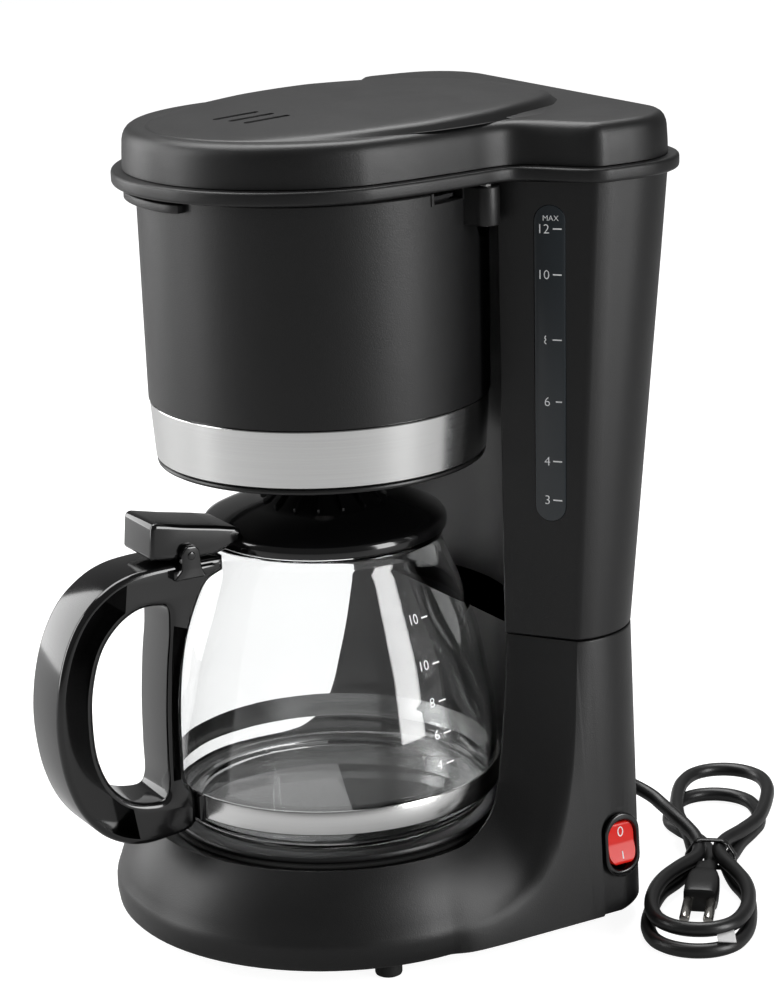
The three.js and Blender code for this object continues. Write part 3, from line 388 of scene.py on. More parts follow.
def brushed(name, color, rough, aniso, stretch):
    """steel with fine lines round the axis: noise stretched along the surface's run"""
    m = mat(name, color, rough, metal=1)
    nt = m.node_tree
    b = next(n for n in nt.nodes if n.type == "BSDF_PRINCIPLED")
    tc = next(n for n in nt.nodes if n.type == "TEX_COORD")
    mp = nt.nodes.new("ShaderNodeMapping")
    mp.inputs["Scale"].default_value = stretch
    nt.links.new(tc.outputs["Object"], mp.inputs["Vector"])
    n = nt.nodes.new("ShaderNodeTexNoise")
    n.inputs["Scale"].default_value = 1.0
    n.inputs["Detail"].default_value = 4
    nt.links.new(mp.outputs[0], n.inputs["Vector"])
    mr = nt.nodes.new("ShaderNodeMapRange")
    mr.inputs["To Min"].default_value = rough - 0.07
    mr.inputs["To Max"].default_value = rough + 0.09
    nt.links.new(n.outputs["Fac"], mr.inputs["Value"])
    nt.links.new(mr.outputs[0], b.inputs["Roughness"])
    cr = nt.nodes.new("ShaderNodeValToRGB")
    cr.color_ramp.elements[0].color = (*[c * 0.86 for c in color], 1)
    cr.color_ramp.elements[1].color = (*[min(1, c * 1.06) for c in color], 1)
    nt.links.new(n.outputs["Fac"], cr.inputs[0])
    nt.links.new(cr.outputs[0], b.inputs["Base Color"])
    bp = nt.nodes.new("ShaderNodeBump")
    bp.inputs["Strength"].default_value = 0.10
    bp.inputs["Distance"].default_value = 0.0002
    nt.links.new(n.outputs["Fac"], bp.inputs["Height"])
    nt.links.new(bp.outputs[0], b.inputs["Normal"])
    b.inputs["Anisotropic"].default_value = aniso
    return m


M["steel"] = brushed("steel", (0.66, 0.66, 0.655), 0.27, 0.5, (18, 18, 3600))
M["bandsteel"] = brushed("bandsteel", (0.78, 0.78, 0.775), 0.19, 0.2, (14, 14, 2600))


def glass_mat():
    m = mat("glass", (0.93, 0.935, 0.935), 0.0, bump=(14, 0.06, 0.0008))
    b = next(n for n in m.node_tree.nodes if n.type == "BSDF_PRINCIPLED")
    b.inputs["Transmission Weight"].default_value = 1.0
    b.inputs["IOR"].default_value = 1.47
    b.inputs["Roughness"].default_value = 0.0
    return m


M["glass"] = glass_mat()


def red_mat():
    m = mat("red", (0.72, 0.012, 0.006), 0.30, bump=(60, 0.05, 0.0004), rvar=0.04, var=0.12, spec=0.25)
    b = next(n for n in m.node_tree.nodes if n.type == "BSDF_PRINCIPLED")
    b.inputs["Transmission Weight"].default_value = 0.18
    # painted glow: a faint red emission makes the rocker shine a little on its own
    b.inputs["Emission Color"].default_value = (0.85, 0.02, 0.01, 1)
    b.inputs["Emission Strength"].default_value = 0.10
    return m


M["red"] = red_mat()


def mesh_mat():
    m = mat("mesh", (0.50, 0.38, 0.15), 0.5, rvar=0.08)
    nt = m.node_tree
    b = next(n for n in nt.nodes if n.type == "BSDF_PRINCIPLED")
    tc = next(n for n in nt.nodes if n.type == "TEX_COORD")
    w1 = nt.nodes.new("ShaderNodeTexWave")
    w1.inputs["Scale"].default_value = 220
    w2 = nt.nodes.new("ShaderNodeTexWave")
    w2.inputs["Scale"].default_value = 220
    w2.bands_direction = "Z"
    for w in (w1, w2):
        nt.links.new(tc.outputs["Object"], w.inputs["Vector"])
    mx = nt.nodes.new("ShaderNodeMath")
    mx.operation = "MAXIMUM"
    nt.links.new(w1.outputs["Fac"], mx.inputs[0])
    nt.links.new(w2.outputs["Fac"], mx.inputs[1])
    cr = nt.nodes.new("ShaderNodeValToRGB")
    cr.color_ramp.elements[0].color = (0.06, 0.045, 0.02, 1)
    cr.color_ramp.elements[1].color = (0.52, 0.40, 0.17, 1)
    nt.links.new(mx.outputs[0], cr.inputs[0])
    nt.links.new(cr.outputs[0], b.inputs["Base Color"])
    bp = nt.nodes.new("ShaderNodeBump")
    bp.inputs["Distance"].default_value = 0.0003
    nt.links.new(mx.outputs[0], bp.inputs["Height"])
    nt.links.new(bp.outputs[0], b.inputs["Normal"])
    return m


M["mesh"] = mesh_mat()


# ------------------------------------------------------------------ column plan outlines (mm)
SEAM_Z, COL_TOP, POCKET_R, REAR_R, WALL = 118.0, 292.8, 73.2, 29.0, 2.6


def lerp(t, x):
    return float(np.interp(x, [p[0] for p in t], [p[1] for p in t]))


def col_w(z):
    return lerp([(7, 91), (SEAM_Z, 83.6), (291, 87.5)], z)


def col_rear(z):
    return lerp([(7, 97.5), (SEAM_Z, 99.5), (291, 115)], z)


def gauge_out(z):
    return (lerp([(SEAM_Z, 82.3), (291, 86)], z), lerp([(SEAM_Z, 62), (291, 70)], z))


GI = (58.3, 44.9)


def rear_side(z, y_start, n=16, flat=6):
    w, y = col_w(z), col_rear(z)
    out = [(w, y_start)]
    for i in range(n + 1):
        a = i / n * 90 * D2R
        out.append((w - REAR_R + REAR_R * math.cos(a), y - REAR_R + REAR_R * math.sin(a)))
    for i in range(1, flat + 1):
        out.append(((w - REAR_R) * (1 - i / flat), y + 0.3 * math.sin(i / flat * math.pi / 2)))
    return out


def column(z, soft=True):
    go, w = gauge_out(z), col_w(z)
    arc = [(POCKET_R * math.cos((90 - i / 30 * 51.5) * D2R), POCKET_R * math.sin((90 - i / 30 * 51.5) * D2R)) for i in range(31)]
    corner = fillet([arc[-1], GI, (go[0], go[1]), (w, go[1] + 6)], [0, 2.2, 4.5, 4] if soft else 0, 6, closed=False)
    half = arc[:-1] + [tuple(p) for p in corner] + rear_side(z, go[1] + 8)[0:]
    return half + [(-x, y) for x, y in reversed(half[1:-1])]


# ------------------------------------------------------------------ base housing
def base_mesh():
    f_st, s_st, b_st = [], [], []
    for i in range(0, 25):
        a = (-90 + 90 * i / 24) * D2R
        c, s = math.cos(a), math.sin(a)
        f_st.append((87.3 * c, 87.3 * s, 7, 88 * c, 88 * s, 17, 74.5 * c, 74.5 * s, 43))
    side = [(87.3, 0, 7, 88, 0, 17, 74.5, 0, 43), (90, 8, 7, 89, 8, 17.3, 74, 8, 43.3), (91, 22, 7, 89.6, 22, 19.5, 71.8, 19, 44.7),
            (91, 36, 7, 89.2, 36, 27, 67.6, 31, 52), (91, 46, 7, 88.6, 45, 39, 65, 36, 62.4), (91, 54, 7, 87.2, 52, 56, 63, 39.4, 77.7),
            (91, 59.4, 7, 85.2, 57.5, 80, 61, 42.4, 93.5), (91, 63.4, 7, 82.3, 62, SEAM_Z, 58.2, 45.6, SEAM_Z)]
    s_st = [tuple(p) for p in catmull([f_st[-2]] + side, 6)[7:]]
    up, lo = rear_side(SEAM_Z, 67), rear_side(7, 67.4)
    for i in range(len(up)):
        a = (38 + (i + 1) / len(up) * 52) * D2R
        b_st.append((lo[i][0], lo[i][1], 7, up[i][0], up[i][1], SEAM_Z, 74 * math.cos(a), 74 * math.sin(a), SEAM_Z))
    half = f_st + s_st + b_st
    full = half + [tuple(-v if k % 3 == 0 else v for k, v in enumerate(p)) for p in reversed(half[1:-1])]
    A = np.array([p[0:3] for p in full])
    B = np.array([p[3:6] for p in full])
    C = np.array([p[6:9] for p in full])
    n = len(full)
    Ain, Bin = offset(A, WALL), offset(B, WALL)
    prof = []
    for i in range(n):
        a, b, c = A[i].copy(), B[i].copy(), C[i].copy()
        ang = math.atan2(c[1], c[0])
        rad = np.array([math.cos(ang), math.sin(ang), 0])
        high = b[2] > SEAM_Z - 0.5
        lift = min(1, max(0, (c[2] - 44) / 12))
        k = min(1, max(0, (SEAM_Z - 2 - b[2]) / 40))           # 1 at the front, 0 near the seam
        rB = 0.8 + 7.2 * k
        a0 = a + np.array([0, 0, 0])
        pts = [a0 - rad * 0.8, a0 + np.array([0, 0, 0.9])]
        low = a0 + (b - a0) * 0.5 + rad * 0.35 * (1 if not high else 0.3)
        pts += [low]
        # rounded shoulder
        u = (low - b) / np.linalg.norm(low - b)
        w = (c - b) / np.linalg.norm(c - b)
        t = min(rB, 0.45 * np.linalg.norm(low - b), 0.45 * np.linalg.norm(c - b))
        p0, p1 = b + u * t, b + w * t
        for s in np.linspace(0, 1, 7):
            pts.append((1 - s) ** 2 * p0 + 2 * s * (1 - s) * b + s * s * p1)
        # dome, slightly convex
        nrm = np.cross(np.array([-rad[1], rad[0], 0]), w)
        nrm = nrm * (1 if nrm[2] > 0 else -1)
        bulge = 0 if high else 1.5 * k + 0.0
        rC = 0.7 + 0.9 * k
        c1 = c - w * rC
        for s in np.linspace(0, 1, 8)[1:]:
            pts.append(p1 + (c1 - p1) * s + nrm * bulge * 4 * s * (1 - s) * 0.9)
        d = np.array([POCKET_R * rad[0], POCKET_R * rad[1], 39.5])
        c2 = c + (d - c) * min(0.4, rC / max(1e-6, np.linalg.norm(d - c)))
        for s in (0.33, 0.66, 1.0):
            pts.append((1 - s) ** 2 * c1 + 2 * s * (1 - s) * c + s * s * c2)
        for s in (0.35, 0.7, 1.0):
            pts.append(c2 + (d - c2) * s)
        pts.append(np.array([60 * rad[0], 60 * rad[1], 39.5]))
        pts.append(np.array([60 * rad[0], 60 * rad[1], 36.9]))
        rdi = POCKET_R + 2.6 * lift
        pts.append(np.array([rdi * rad[0], rdi * rad[1], 36.9]))
        rc = math.hypot(c[0], c[1])
        if high:
            pts.append(np.array([76.4 * rad[0], 76.4 * rad[1], SEAM_Z - WALL]))
            pts.append(np.array([Bin[i][0], Bin[i][1], SEAM_Z - WALL]))
        else:
            pts.append(np.array([(rc + 2.6) * rad[0], (rc + 2.6) * rad[1], max(c[2] - 8 + 3 * lift, 34.5)]))
            pts.append(np.array([Bin[i][0], Bin[i][1], max(b[2] - 2.2, 12)]))
        pts.append(np.array([Ain[i][0], Ain[i][1], 7]))
        prof.append(pts)
    m = len(prof[0])
    rings = [[prof[i][j] for i in range(n)] for j in range(m)]
    V, F = loft(rings, closed=True)
    V = [(min(90.98, max(-90.98, p[0])), p[1], p[2]) for p in V]
    return mesh_from("base", V, F)


def stadium(hw, hh, cy, cz, n=16):
    out = []
    for i in range(n + 1):
        a = i / n * math.pi
        out.append((cy + hw * math.cos(a), cz + (hh - hw) + hw * math.sin(a)))
    for i in range(n + 1):
        a = math.pi + i / n * math.pi
        out.append((cy + hw * math.cos(a), cz - (hh - hw) + hw * math.sin(a)))
    return out


def prism_x(yz, x0, x1, lean=0.0, z_ref=34.3):
    """outline in (y, z) extruded along X; lean slopes it with the side wall"""
    V = [(x + lean * (z - z_ref), y, z) for x in (x0, x1) for y, z in yz]
    n = len(yz)
    F = [(i, (i + 1) % n, n + (i + 1) % n, n + i) for i in range(n)] + [tuple(reversed(range(n))), tuple(range(n, 2 * n))]
    return mesh_from("prism", V, F)


def fix(me):
    bm = bmesh.new()
    bm.from_mesh(me)
    bmesh.ops.remove_doubles(bm, verts=bm.verts, dist=2e-6)
    bmesh.ops.recalc_face_normals(bm, faces=bm.faces)
    bm.to_mesh(me)
    bm.free()
    return me


ob = temp(fix(base_mesh()))
arch = [(67.6, 4), (86.0, 4), (86.0, 40.6)] + [(76.8 + 9.2 * math.cos(i / 20 * math.pi), 40.6 + 8.8 * math.sin(i / 20 * math.pi)) for i in range(1, 20)] + [(67.6, 40.6)]
boolean(ob, [fix(prism_x(arch, 87.3, 96, -0.064)), fix(prism_x(stadium(7.3, 12.3, 77, 34.3), 70, 96))])
base_ob = link("base_shell", take(ob), "machine", M["housing"], 34, ["base_housing"])

# ------------------------------------------------------------------ tank housing and sight window
zs = [SEAM_Z + 0.4, SEAM_Z + 1.0, 150, 190, 230, 262, COL_TOP]
rings = [at(offset(column(zs[0]), 0.5), zs[0])] + [at(column(z), z) for z in zs[1:]]
rings += [at(offset(column(z), WALL), z) for z in (COL_TOP, 230, 160, SEAM_Z + 3.4)]
V, F = loft(rings)
ob = temp(fix(mesh_from("tank", V, F)))


def face_at(z):
    b = gauge_out(z)
    d = np.array([b[0] - GI[0], b[1] - GI[1]])
    d /= np.linalg.norm(d)
    return np.array(GI), d, np.array([d[1], -d[0]])


def on_face(s, z, w):
    ends = []
    for zz in (SEAM_Z, 291.0):
        o, u, nn = face_at(zz)
        ends.append(o + u * (19.6 + (zz - 224) * 0.006 + s) + nn * w)
    p = ends[0] + (ends[1] - ends[0]) * (z - SEAM_Z) / (291.0 - SEAM_Z)
    return (p[0], p[1], z)


def slab(hw, z0, z1, levels, n=14):
    """upright stadium slab on the gauge face; levels are (w, inset) rings from back to front"""
    rings = []
    for w, ins in levels:
        h = hw - ins
        out = []
        for i in range(n + 1):
            a = i / n * math.pi
            out.append(on_face(h * math.cos(a), z1 - hw + h * math.sin(a), w))
        for i in range(n + 1):
            a = math.pi + i / n * math.pi
            out.append(on_face(h * math.cos(a), z0 + hw + h * math.sin(a), w))
        rings.append(out)
    return loft(rings)


V, F = slab(6.1, 164.5, 284.5, [(-1.1, 0), (3, 0)])
boolean(ob, [fix(mesh_from("slot", V, F))])
link("tank_shell", take(ob), "machine", M["gauge"], 32, ["tank_housing"])
V, F = slab(6.0, 164.6, 284.4, [(-1.3, 0), (-0.15, 0), (0.1, 0.15), (0.2, 0.5)])
link("sight_window", mesh_from("window", V, F), "machine", M["window"], 40, ["level_window"])


def text_mesh(s, size, thick=0.12):
    cu = bpy.data.curves.new("t", "FONT")
    cu.body = s
    cu.size = size
    cu.extrude = thick / 2
    cu.offset = -0.012 * size
    cu.resolution_u = 3
    cu.align_x = "LEFT"
    o = bpy.data.objects.new("t", cu)
    SCN.collection.objects.link(o)
    bpy.context.view_layer.update()
    me = bpy.data.meshes.new_from_object(o.evaluated_get(bpy.context.evaluated_depsgraph_get()))
    bpy.data.objects.remove(o)
    bm = bmesh.new()
    bm.from_mesh(me)
    bmesh.ops.remove_doubles(bm, verts=bm.verts, dist=1e-5)
    bm.to_mesh(me)
    bm.free()
    return me


def tick_mesh(x0, x1, y0, y1, thick=0.12):
    V = [(x, y, z) for z in (-thick / 2, thick / 2) for x, y in ((x0, y0), (x1, y0), (x1, y1), (x0, y1))]
    F = [(3, 2, 1, 0), (4, 5, 6, 7), (0, 1, 5, 4), (1, 2, 6, 5), (2, 3, 7, 6), (3, 0, 4, 7)]
    me = bpy.data.meshes.new("tick")
    me.from_pydata(V, [], F)
    return me


def place(name, parts, fn, body, bend=False, look="mark"):
    """parts: meshes drawn in mm in a flat (x, y, thickness) plane, mapped by fn to world mm"""
    bm = bmesh.new()
    for me in parts:
        bm.from_mesh(me)
    if bend:
        bmesh.ops.triangulate(bm, faces=bm.faces)
    for v in bm.verts:
        v.co = Vector(fn(v.co.x, v.co.y, v.co.z)) * MM
    me = bpy.data.meshes.new(name)
    bm.to_mesh(me)
    bm.free()
    return link(name, me, body, M[look], 30)


def shifted(me, dx, dy):
    me.transform(Matrix.Translation((dx, dy, 0)))
    return me


parts = []
for s, z, size in (("MAX", 278.6, 2.9), ("12", 273.9, 5.0), ("10", 256.9, 5.0), ("8", 232.4, 5.2), ("6", 209.0, 5.2), ("4", 186.2, 5.0), ("3", 171.2, 5.0)):
    if s == "MAX":
        parts.append(shifted(text_mesh(s, size), -2.7, z))
    else:
        x0 = -4.9 if len(s) == 2 else -2.4
        parts.append(shifted(text_mesh(s, size), x0, z))
        parts.append(tick_mesh(1.3 if len(s) == 2 else 1.1, 4.6, z + size * 0.30, z + size * 0.30 + 0.5))
place("window_marks", parts, lambda x, y, t: on_face(x, y, 0.27 + t), "machine")

# ------------------------------------------------------------------ top frame
FRAME_Z0, FRAME_Z1 = 293.2, 298.5
LID_Z0, SHOULDER, LID_TOP = 298.8, 312.2, 314.3
LAX = (119.2, 302.5)


def flange(fine=True):
    out = []
    n = 40
    for i in range(n + 1):
        a = (-90 + i / n * 82) * D2R
        out.append((70.5 * math.cos(a), -5 + 70.5 * math.sin(a)))
    mid = [(69.6, 4), (68.4, 18), (66.8, 32), (65.6, 42), (66.4, 48.5), (70.5, 53.2), (77, 58), (84, 63), (88.4, 67.2), (90.4, 72), (90.6, 78), (90.2, 88)]
    fine_mid = catmull([out[-2], out[-1]] + mid, 5)[6:]
    out += [tuple(p) for p in fine_mid]
    cx, cy = 58, 88
    for i in range(1, 19):
        a = i / 18 * 90 * D2R
        out.append((cx + 32 * math.cos(a), cy + 32 * math.sin(a)))
    out += [(44, 120), (30, 120), (15, 120), (0, 120)]
    return out + [(-x, y) for x, y in reversed(out[1:-1])]


FL = flange()
tank_in = [tuple(p) for p in offset(column(COL_TOP), WALL + 1.2)]
me = plate("frame", FL, [circ(63.4, 96, 0, 0), tank_in], FRAME_Z0, FRAME_Z1, 1.3, 4)
ob = temp(fix(me))
lugs = []
for x0, x1 in ((31, 38), (-38, -31)):
    yz = [(116.4, FRAME_Z1 - 1), (121.95, FRAME_Z1 - 1), (121.95, LAX[1])] + [(LAX[0] + 2.75 * math.cos(i / 12 * math.pi), LAX[1] + 2.75 * math.sin(i / 12 * math.pi)) for i in range(1, 12)] + [(116.4, LAX[1])]
    lugs.append(fix(prism_x(yz, x0, x1)))
boolean(ob, lugs, "UNION")
link("frame_ring", take(ob), "machine", M["housing"], 34, ["top_frame"])

# ------------------------------------------------------------------ lid
wall = offset(FL, 4.2)
CROWN_C = (0.0, 18.0)


def crown_pt(p, k):
    ang = math.atan2(p[1] - CROWN_C[1], p[0] - CROWN_C[0])
    c, s = math.cos(ang), math.sin(ang)
    a = 60 - 13 * max(0, s) ** 2 - 1.5 * abs(s)
    b, e = (80, 2.1) if s < 0 else (82, 2.6)
    r = 1 / (abs(c / a) ** e + abs(s / b) ** e) ** (1 / e)
    return (CROWN_C[0] + c * r * k, CROWN_C[1] + s * r * k)


def crown_z(x, y):
    z = lerp([(-62, 314.1), (-30, 316.2), (0, 318.0), (30, 319.1), (60, 319.2), (80, 318.4), (100, 316.4)], y)
    return z - 1.1 * (x / 60) ** 2


def lid_mesh():
    n = len(wall)
    rs = [at(wall, LID_Z0), at(offset(wall, 0.15), LID_Z0 + 5), at(offset(wall, 0.45), SHOULDER - 3.2), at(offset(wall, 0.75), SHOULDER - 1.6),
          at(offset(wall, 1.35), SHOULDER - 0.1), at(offset(wall, 2.3), SHOULDER + 1.1), at(offset(wall, 3.5), SHOULDER + 1.85), at(offset(wall, 4.8), LID_TOP)]
    top = offset(wall, 4.8)
    ring = lambda k, f: [(*crown_pt(p, k), f(*crown_pt(p, k))) for p in top]
    base = LID_TOP
    cz = lambda x, y, k: max(base + 0.15, base + (crown_z(x, y) - base) * k)
    mid = []
    for p, q in zip(top, ring(1.03, lambda x, y: base)):
        mid.append(((p[0] + q[0]) / 2, (p[1] + q[1]) / 2, base + 0.05))
    rs.append(mid)
    rs += [ring(1.03, lambda x, y: base + 0.05), ring(1.008, lambda x, y: base - 0.25), ring(0.998, lambda x, y: cz(x, y, 0.12)), ring(0.985, lambda x, y: cz(x, y, 0.5)),
           ring(0.968, lambda x, y: cz(x, y, 0.78)), ring(0.94, lambda x, y: cz(x, y, 0.93)), ring(0.90, lambda x, y: cz(x, y, 1.0))]
    for k in (0.8, 0.7, 0.6, 0.5, 0.4, 0.3, 0.2, 0.1):
        rs.append(ring(k, lambda x, y: cz(x, y, 1.0)))
    under = lambda k, d: [(*crown_pt(p, k), min(crown_z(*crown_pt(p, k)), 319) - d) for p in top]
    V, F = [], []
    cnt = [0]

    def push(r):
        s = cnt[0]
        V.extend(r)
        cnt[0] += len(r)
        return s
    st = [push(r) for r in rs]
    for a, b in zip(st[:-1], st[1:]):
        for i in range(n):
            F.append((a + i, a + (i + 1) % n, b + (i + 1) % n, b + i))
    c0 = push([(CROWN_C[0], CROWN_C[1], crown_z(*CROWN_C))])
    for i in range(n):
        F.append((st[-1] + i, st[-1] + (i + 1) % n, c0))
    ins = [under(0.1, 2.6), under(0.5, 2.6), under(0.92, 3.4), at(offset(wall, 6.2), LID_TOP - 2.6), at(offset(wall, 3.2), SHOULDER - 2.4), at(offset(wall, WALL), LID_Z0)]
    si = [push(r) for r in ins]
    for a, b in zip(si[:-1], si[1:]):
        for i in range(n):
            F.append((a + i, a + (i + 1) % n, b + (i + 1) % n, b + i))
    for i in range(n):
        F.append((si[-1] + i, si[-1] + (i + 1) % n, st[0] + (i + 1) % n, st[0] + i))
    c1 = push([(CROWN_C[0], CROWN_C[1], 319 - 2.6)])
    for i in range(n):
        F.append((si[0] + (i + 1) % n, si[0] + i, c1))
    return mesh_from("lid", V, F)


ob = temp(fix(lid_mesh()))
barrel = fix(prism_x(circ(2.55, 24, *LAX), -30, 30))
web = fix(prism_x([(114.6, 301), (119, 300.2), (119, 304.6), (114.4, 305)], -30, 30))
boolean(ob, [barrel, web], "UNION")


def slot_cutter(x, y0, y1, r=1.25, lean=0.0):
    pts = [(x + r * math.cos(i / 10 * math.pi), y1 - r + r * math.sin(i / 10 * math.pi)) for i in range(11)] + [(x - r * math.cos(i / 10 * math.pi), y0 + r - r * math.sin(i / 10 * math.pi)) for i in range(11)]
    V = [(px, py, z) for z in (300, 330) for px, py in pts]
    k = len(pts)
    F = [(i, (i + 1) % k, k + (i + 1) % k, k + i) for i in range(k)] + [tuple(reversed(range(k))), tuple(range(k, 2 * k))]
    return fix(mesh_from("slot", V, F))


boolean(ob, [slot_cutter(-8.5, -36, -17, 1.6), slot_cutter(0, -34, -15, 1.6), slot_cutter(8.5, -32, -13, 1.6)])
link("lid_shell", take(ob), "lid", M["housing"], 30, ["lid"])

# ------------------------------------------------------------------ filter holder, band, trim
prof = [(6, 187.5), (61.4, 187.5), (61.8, 187.9), (62.9, 209.2), (62.9, 209.9), (65.0, 209.9), (65.42, 210.3), (65.5, 214), (65.75, 240), (66.0, 270), (66.2, 291.7), (65.8, 292.3), (63.9, 292.3), (63.5, 291.8), (62.7, 210.5), (59.6, 190.4), (6, 190.4)]
V, F = lathe(prof, 192)
ob = temp(fix(mesh_from("holder", V, F)))


def arc_block(r0, r1, a0, a1, z0, z1, n=24, ends=0.0):
    pts = []
    for i in range(n + 1):
        a = (a0 + (a1 - a0) * i / n) * D2R
        e = r1 - ends * (abs(2 * i / n - 1) ** 6)
        pts.append((e * math.cos(a), e * math.sin(a)))
    for i in range(n, -1, -1):
        a = (a0 + (a1 - a0) * i / n) * D2R
        pts.append((r0 * math.cos(a), r0 * math.sin(a)))
    return pts


tab = fix(plate("tab", arc_block(64.6, 71.4, -114.5, -73, 0, 0, 28, 2.0), [], 288.0, 291.6, 0.8, 2))
H = (62.0, 38.0)
ha = math.atan2(H[1], H[0])
un, vn = np.array([math.cos(ha), math.sin(ha)]), np.array([-math.sin(ha), math.cos(ha)])
qd = [tuple(un * a + vn * b) for a, b in ((64.6, -4.9), (72.7, -4.9), (72.7, 4.9), (64.6, 4.9))]
lug = fix(plate("lug", circ(5, 40, *H), [], 278, 292.3, 0.5, 2))
arm = fix(plate("arm", qd, [], 278.3, 292.2, 0.3, 1))
boolean(ob, [tab, arm, lug], "UNION")


def conic_cutter(a0, a1, zlo, zhi, r0, r1, round_low, n=24):
    """block between radii r0..r1 seen from the axis as an arch open at the top"""
    am, hw = (a0 + a1) / 2, (a1 - a0) / 2
    pts = [(a1, zhi), (a0, zhi), (a0, zlo + round_low)]
    for i in range(1, n):
        t = math.pi + i / n * math.pi
        pts.append((am + hw * math.cos(t), zlo + round_low + round_low * math.sin(t)))
    pts.append((a1, zlo + round_low))
    V = [(r * math.cos(a * D2R), r * math.sin(a * D2R), z) for r in (r0, r1) for a, z in pts]
    k = len(pts)
    F = [(i, (i + 1) % k, k + (i + 1) % k, k + i) for i in range(k)] + [tuple(reversed(range(k))), tuple(range(k, 2 * k))]
    return fix(mesh_from("cc", V, F))


boolean(ob, [conic_cutter(36.6, 51, 270, 300, 64.3, 69, 8)])
cutb = [(a, z) for a, z in ((12.2, 288.4), (26.4, 288.4), (26.4, 296), (12.2, 296))]
Vn = [(r * math.cos(a * D2R), r * math.sin(a * D2R), z) for r in (62.0, 69) for a, z in cutb]
boolean(ob, [fix(mesh_from("notch", Vn, [(3, 2, 1, 0), (4, 5, 6, 7), (0, 1, 5, 4), (1, 2, 6, 5), (2, 3, 7, 6), (3, 0, 4, 7)]))])
link("holder_shell", take(ob), "holder", M["housing"], 32, ["filter_holder"])
# raised rim round the notch
for nm, a0, a1, z0, z1 in (("notch_rim_low", 11.2, 27.2, 287.7, 288.4), ("notch_rim_left", 11.2, 12.2, 287.7, 292.4), ("notch_rim_right", 26.2, 27.2, 287.7, 292.4)):
    V, F = [], []
    nn = 8
    for i in range(nn + 1):
        a = (a0 + (a1 - a0) * i / nn) * D2R
        for r, z in ((65.6, z0), (66.65, z0 + 0.1), (66.65, z1 - 0.1), (65.6, z1)):
            V.append((r * math.cos(a), r * math.sin(a), z))
    for i in range(nn):
        for k in range(4):
            F.append((4 * i + k, 4 * i + (k + 1) % 4, 4 * i + 4 + (k + 1) % 4, 4 * i + 4 + k))
    F += [(3, 2, 1, 0), tuple(4 * nn + k for k in range(4))]
    link(nm, mesh_from(nm, V, F), "holder", M["housing"], 30)

V, F = lathe([(62.2, 187.7), (63.2, 187.7), (63.5, 188.0), (65.0, 209.1), (64.8, 209.4), (63.4, 209.4)], 256)
link("band_steel", mesh_from("band", V, F), "holder", M["bandsteel"], 30, ["steel_band"])
V, F = lathe([(54, 185.1), (62.3, 185.1), (63.0, 185.5), (63.2, 186.2), (63.0, 186.8), (62.6, 187.1), (54, 187.1)], 192)
link("trim_ring", mesh_from("trim", V, F), "holder", M["satin"], 30, ["holder_trim"])

# drip-stop spring (the real one is pressed together as the valve lifts), built as a fixed helix
helix = []
for i in range(3 * 40 + 1):
    a = i / 40 * 2 * math.pi
    k = i / 120
    helix.append((6 * math.cos(a), 6 * math.sin(a), 193.5 + 6.2 * k))
V, F = sweep(helix, circ(0.48, 12))
spring = link("stop_spring", mesh_from("spring", V, F), "holder", M["zinc"], 40, ["valve_spring"])
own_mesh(spring)

# ------------------------------------------------------------------ hot plate, gasket, feet
V, F = lathe([(0, 42.4), (61.8, 42.4), (62.2, 41.4), (65.0, 41.4), (65.4, 41.9), (65.4, 42.7), (65.0, 43.4), (64.2, 43.7), (60.5, 43.68), (59.8, 43.4), (58.9, 43.4), (58.2, 43.68), (40, 43.7), (20, 43.7), (0, 43.7)], 160)
link("warming_plate", mesh_from("plate", V, F), "machine", M["plate"], 30, ["hot_plate"])
V, F = lathe([(61.2, 39.8), (66.9, 39.8), (66.9, 40.3), (66.2, 40.9), (61.2, 40.9)], 128)
link("plate_seal", mesh_from("seal", V, F), "machine", M["rubber"], 30, ["plate_gasket"])
for node, (x, y) in (("foot_front_right", (74.2, -20)), ("foot_front_left", (-74.2, -20)), ("foot_rear_right", (70, 84)), ("foot_rear_left", (-70, 84))):
    V, F = lathe([(0, 0.5), (2.4, 0.45), (3.0, 0.02), (4.4, 0.0), (5.0, 0.35), (5.2, 0.95), (5.2, 5.2), (4.8, 5.9), (4.8, 7.0), (0, 7.0)], 48, x, y)
    link(node + "_pad", mesh_from(node, V, F), "machine", M["rubber"], 35, [node])

# ------------------------------------------------------------------ jug
G = catmull([(57.5, 44.25), (60.8, 45.2), (62.9, 48.6), (64.4, 55.5), (65.0, 64), (65.2, 73), (64.4, 83), (62.5, 93), (58.9, 112), (53, 130), (49.2, 140), (46.8, 146), (45.3, 149.4), (45.2, 151), (45.9, 153.4)], 4)
outer = [tuple(p) for p in G]
inner = []
Gi = np.array(outer)
tan = np.gradient(Gi, axis=0)
tan /= np.linalg.norm(tan, axis=1, keepdims=True)
nin = np.stack([-tan[:, 1], tan[:, 0]], 1)
for p, q in zip(Gi, nin):
    inner.append((p[0] + q[0] * 1.9, p[1] + q[1] * 1.9))
inner = [p for p in inner if p[1] > 48.6]
rim = [(45.8, 154.2), (45.2, 154.6), (44.5, 154.3)]
prof = [(0, 45.3), (50, 45.0), (53.5, 44.3)] + outer + rim + list(reversed(inner)) + [(59.8, 47.9), (57, 46.9), (50, 47.0), (25, 47.3), (0, 47.5)]


def spout(r, z, a):
    d = (a - math.pi / 2 + math.pi) % (2 * math.pi) - math.pi
    k = max(0.0, min(1.0, (z - 144.5) / 9.0))
    k = k * k * (3 - 2 * k)
    w = math.exp(-(d / 0.26) ** 2)
    return r + 5.5 * k * w, z - 0.8 * k * w


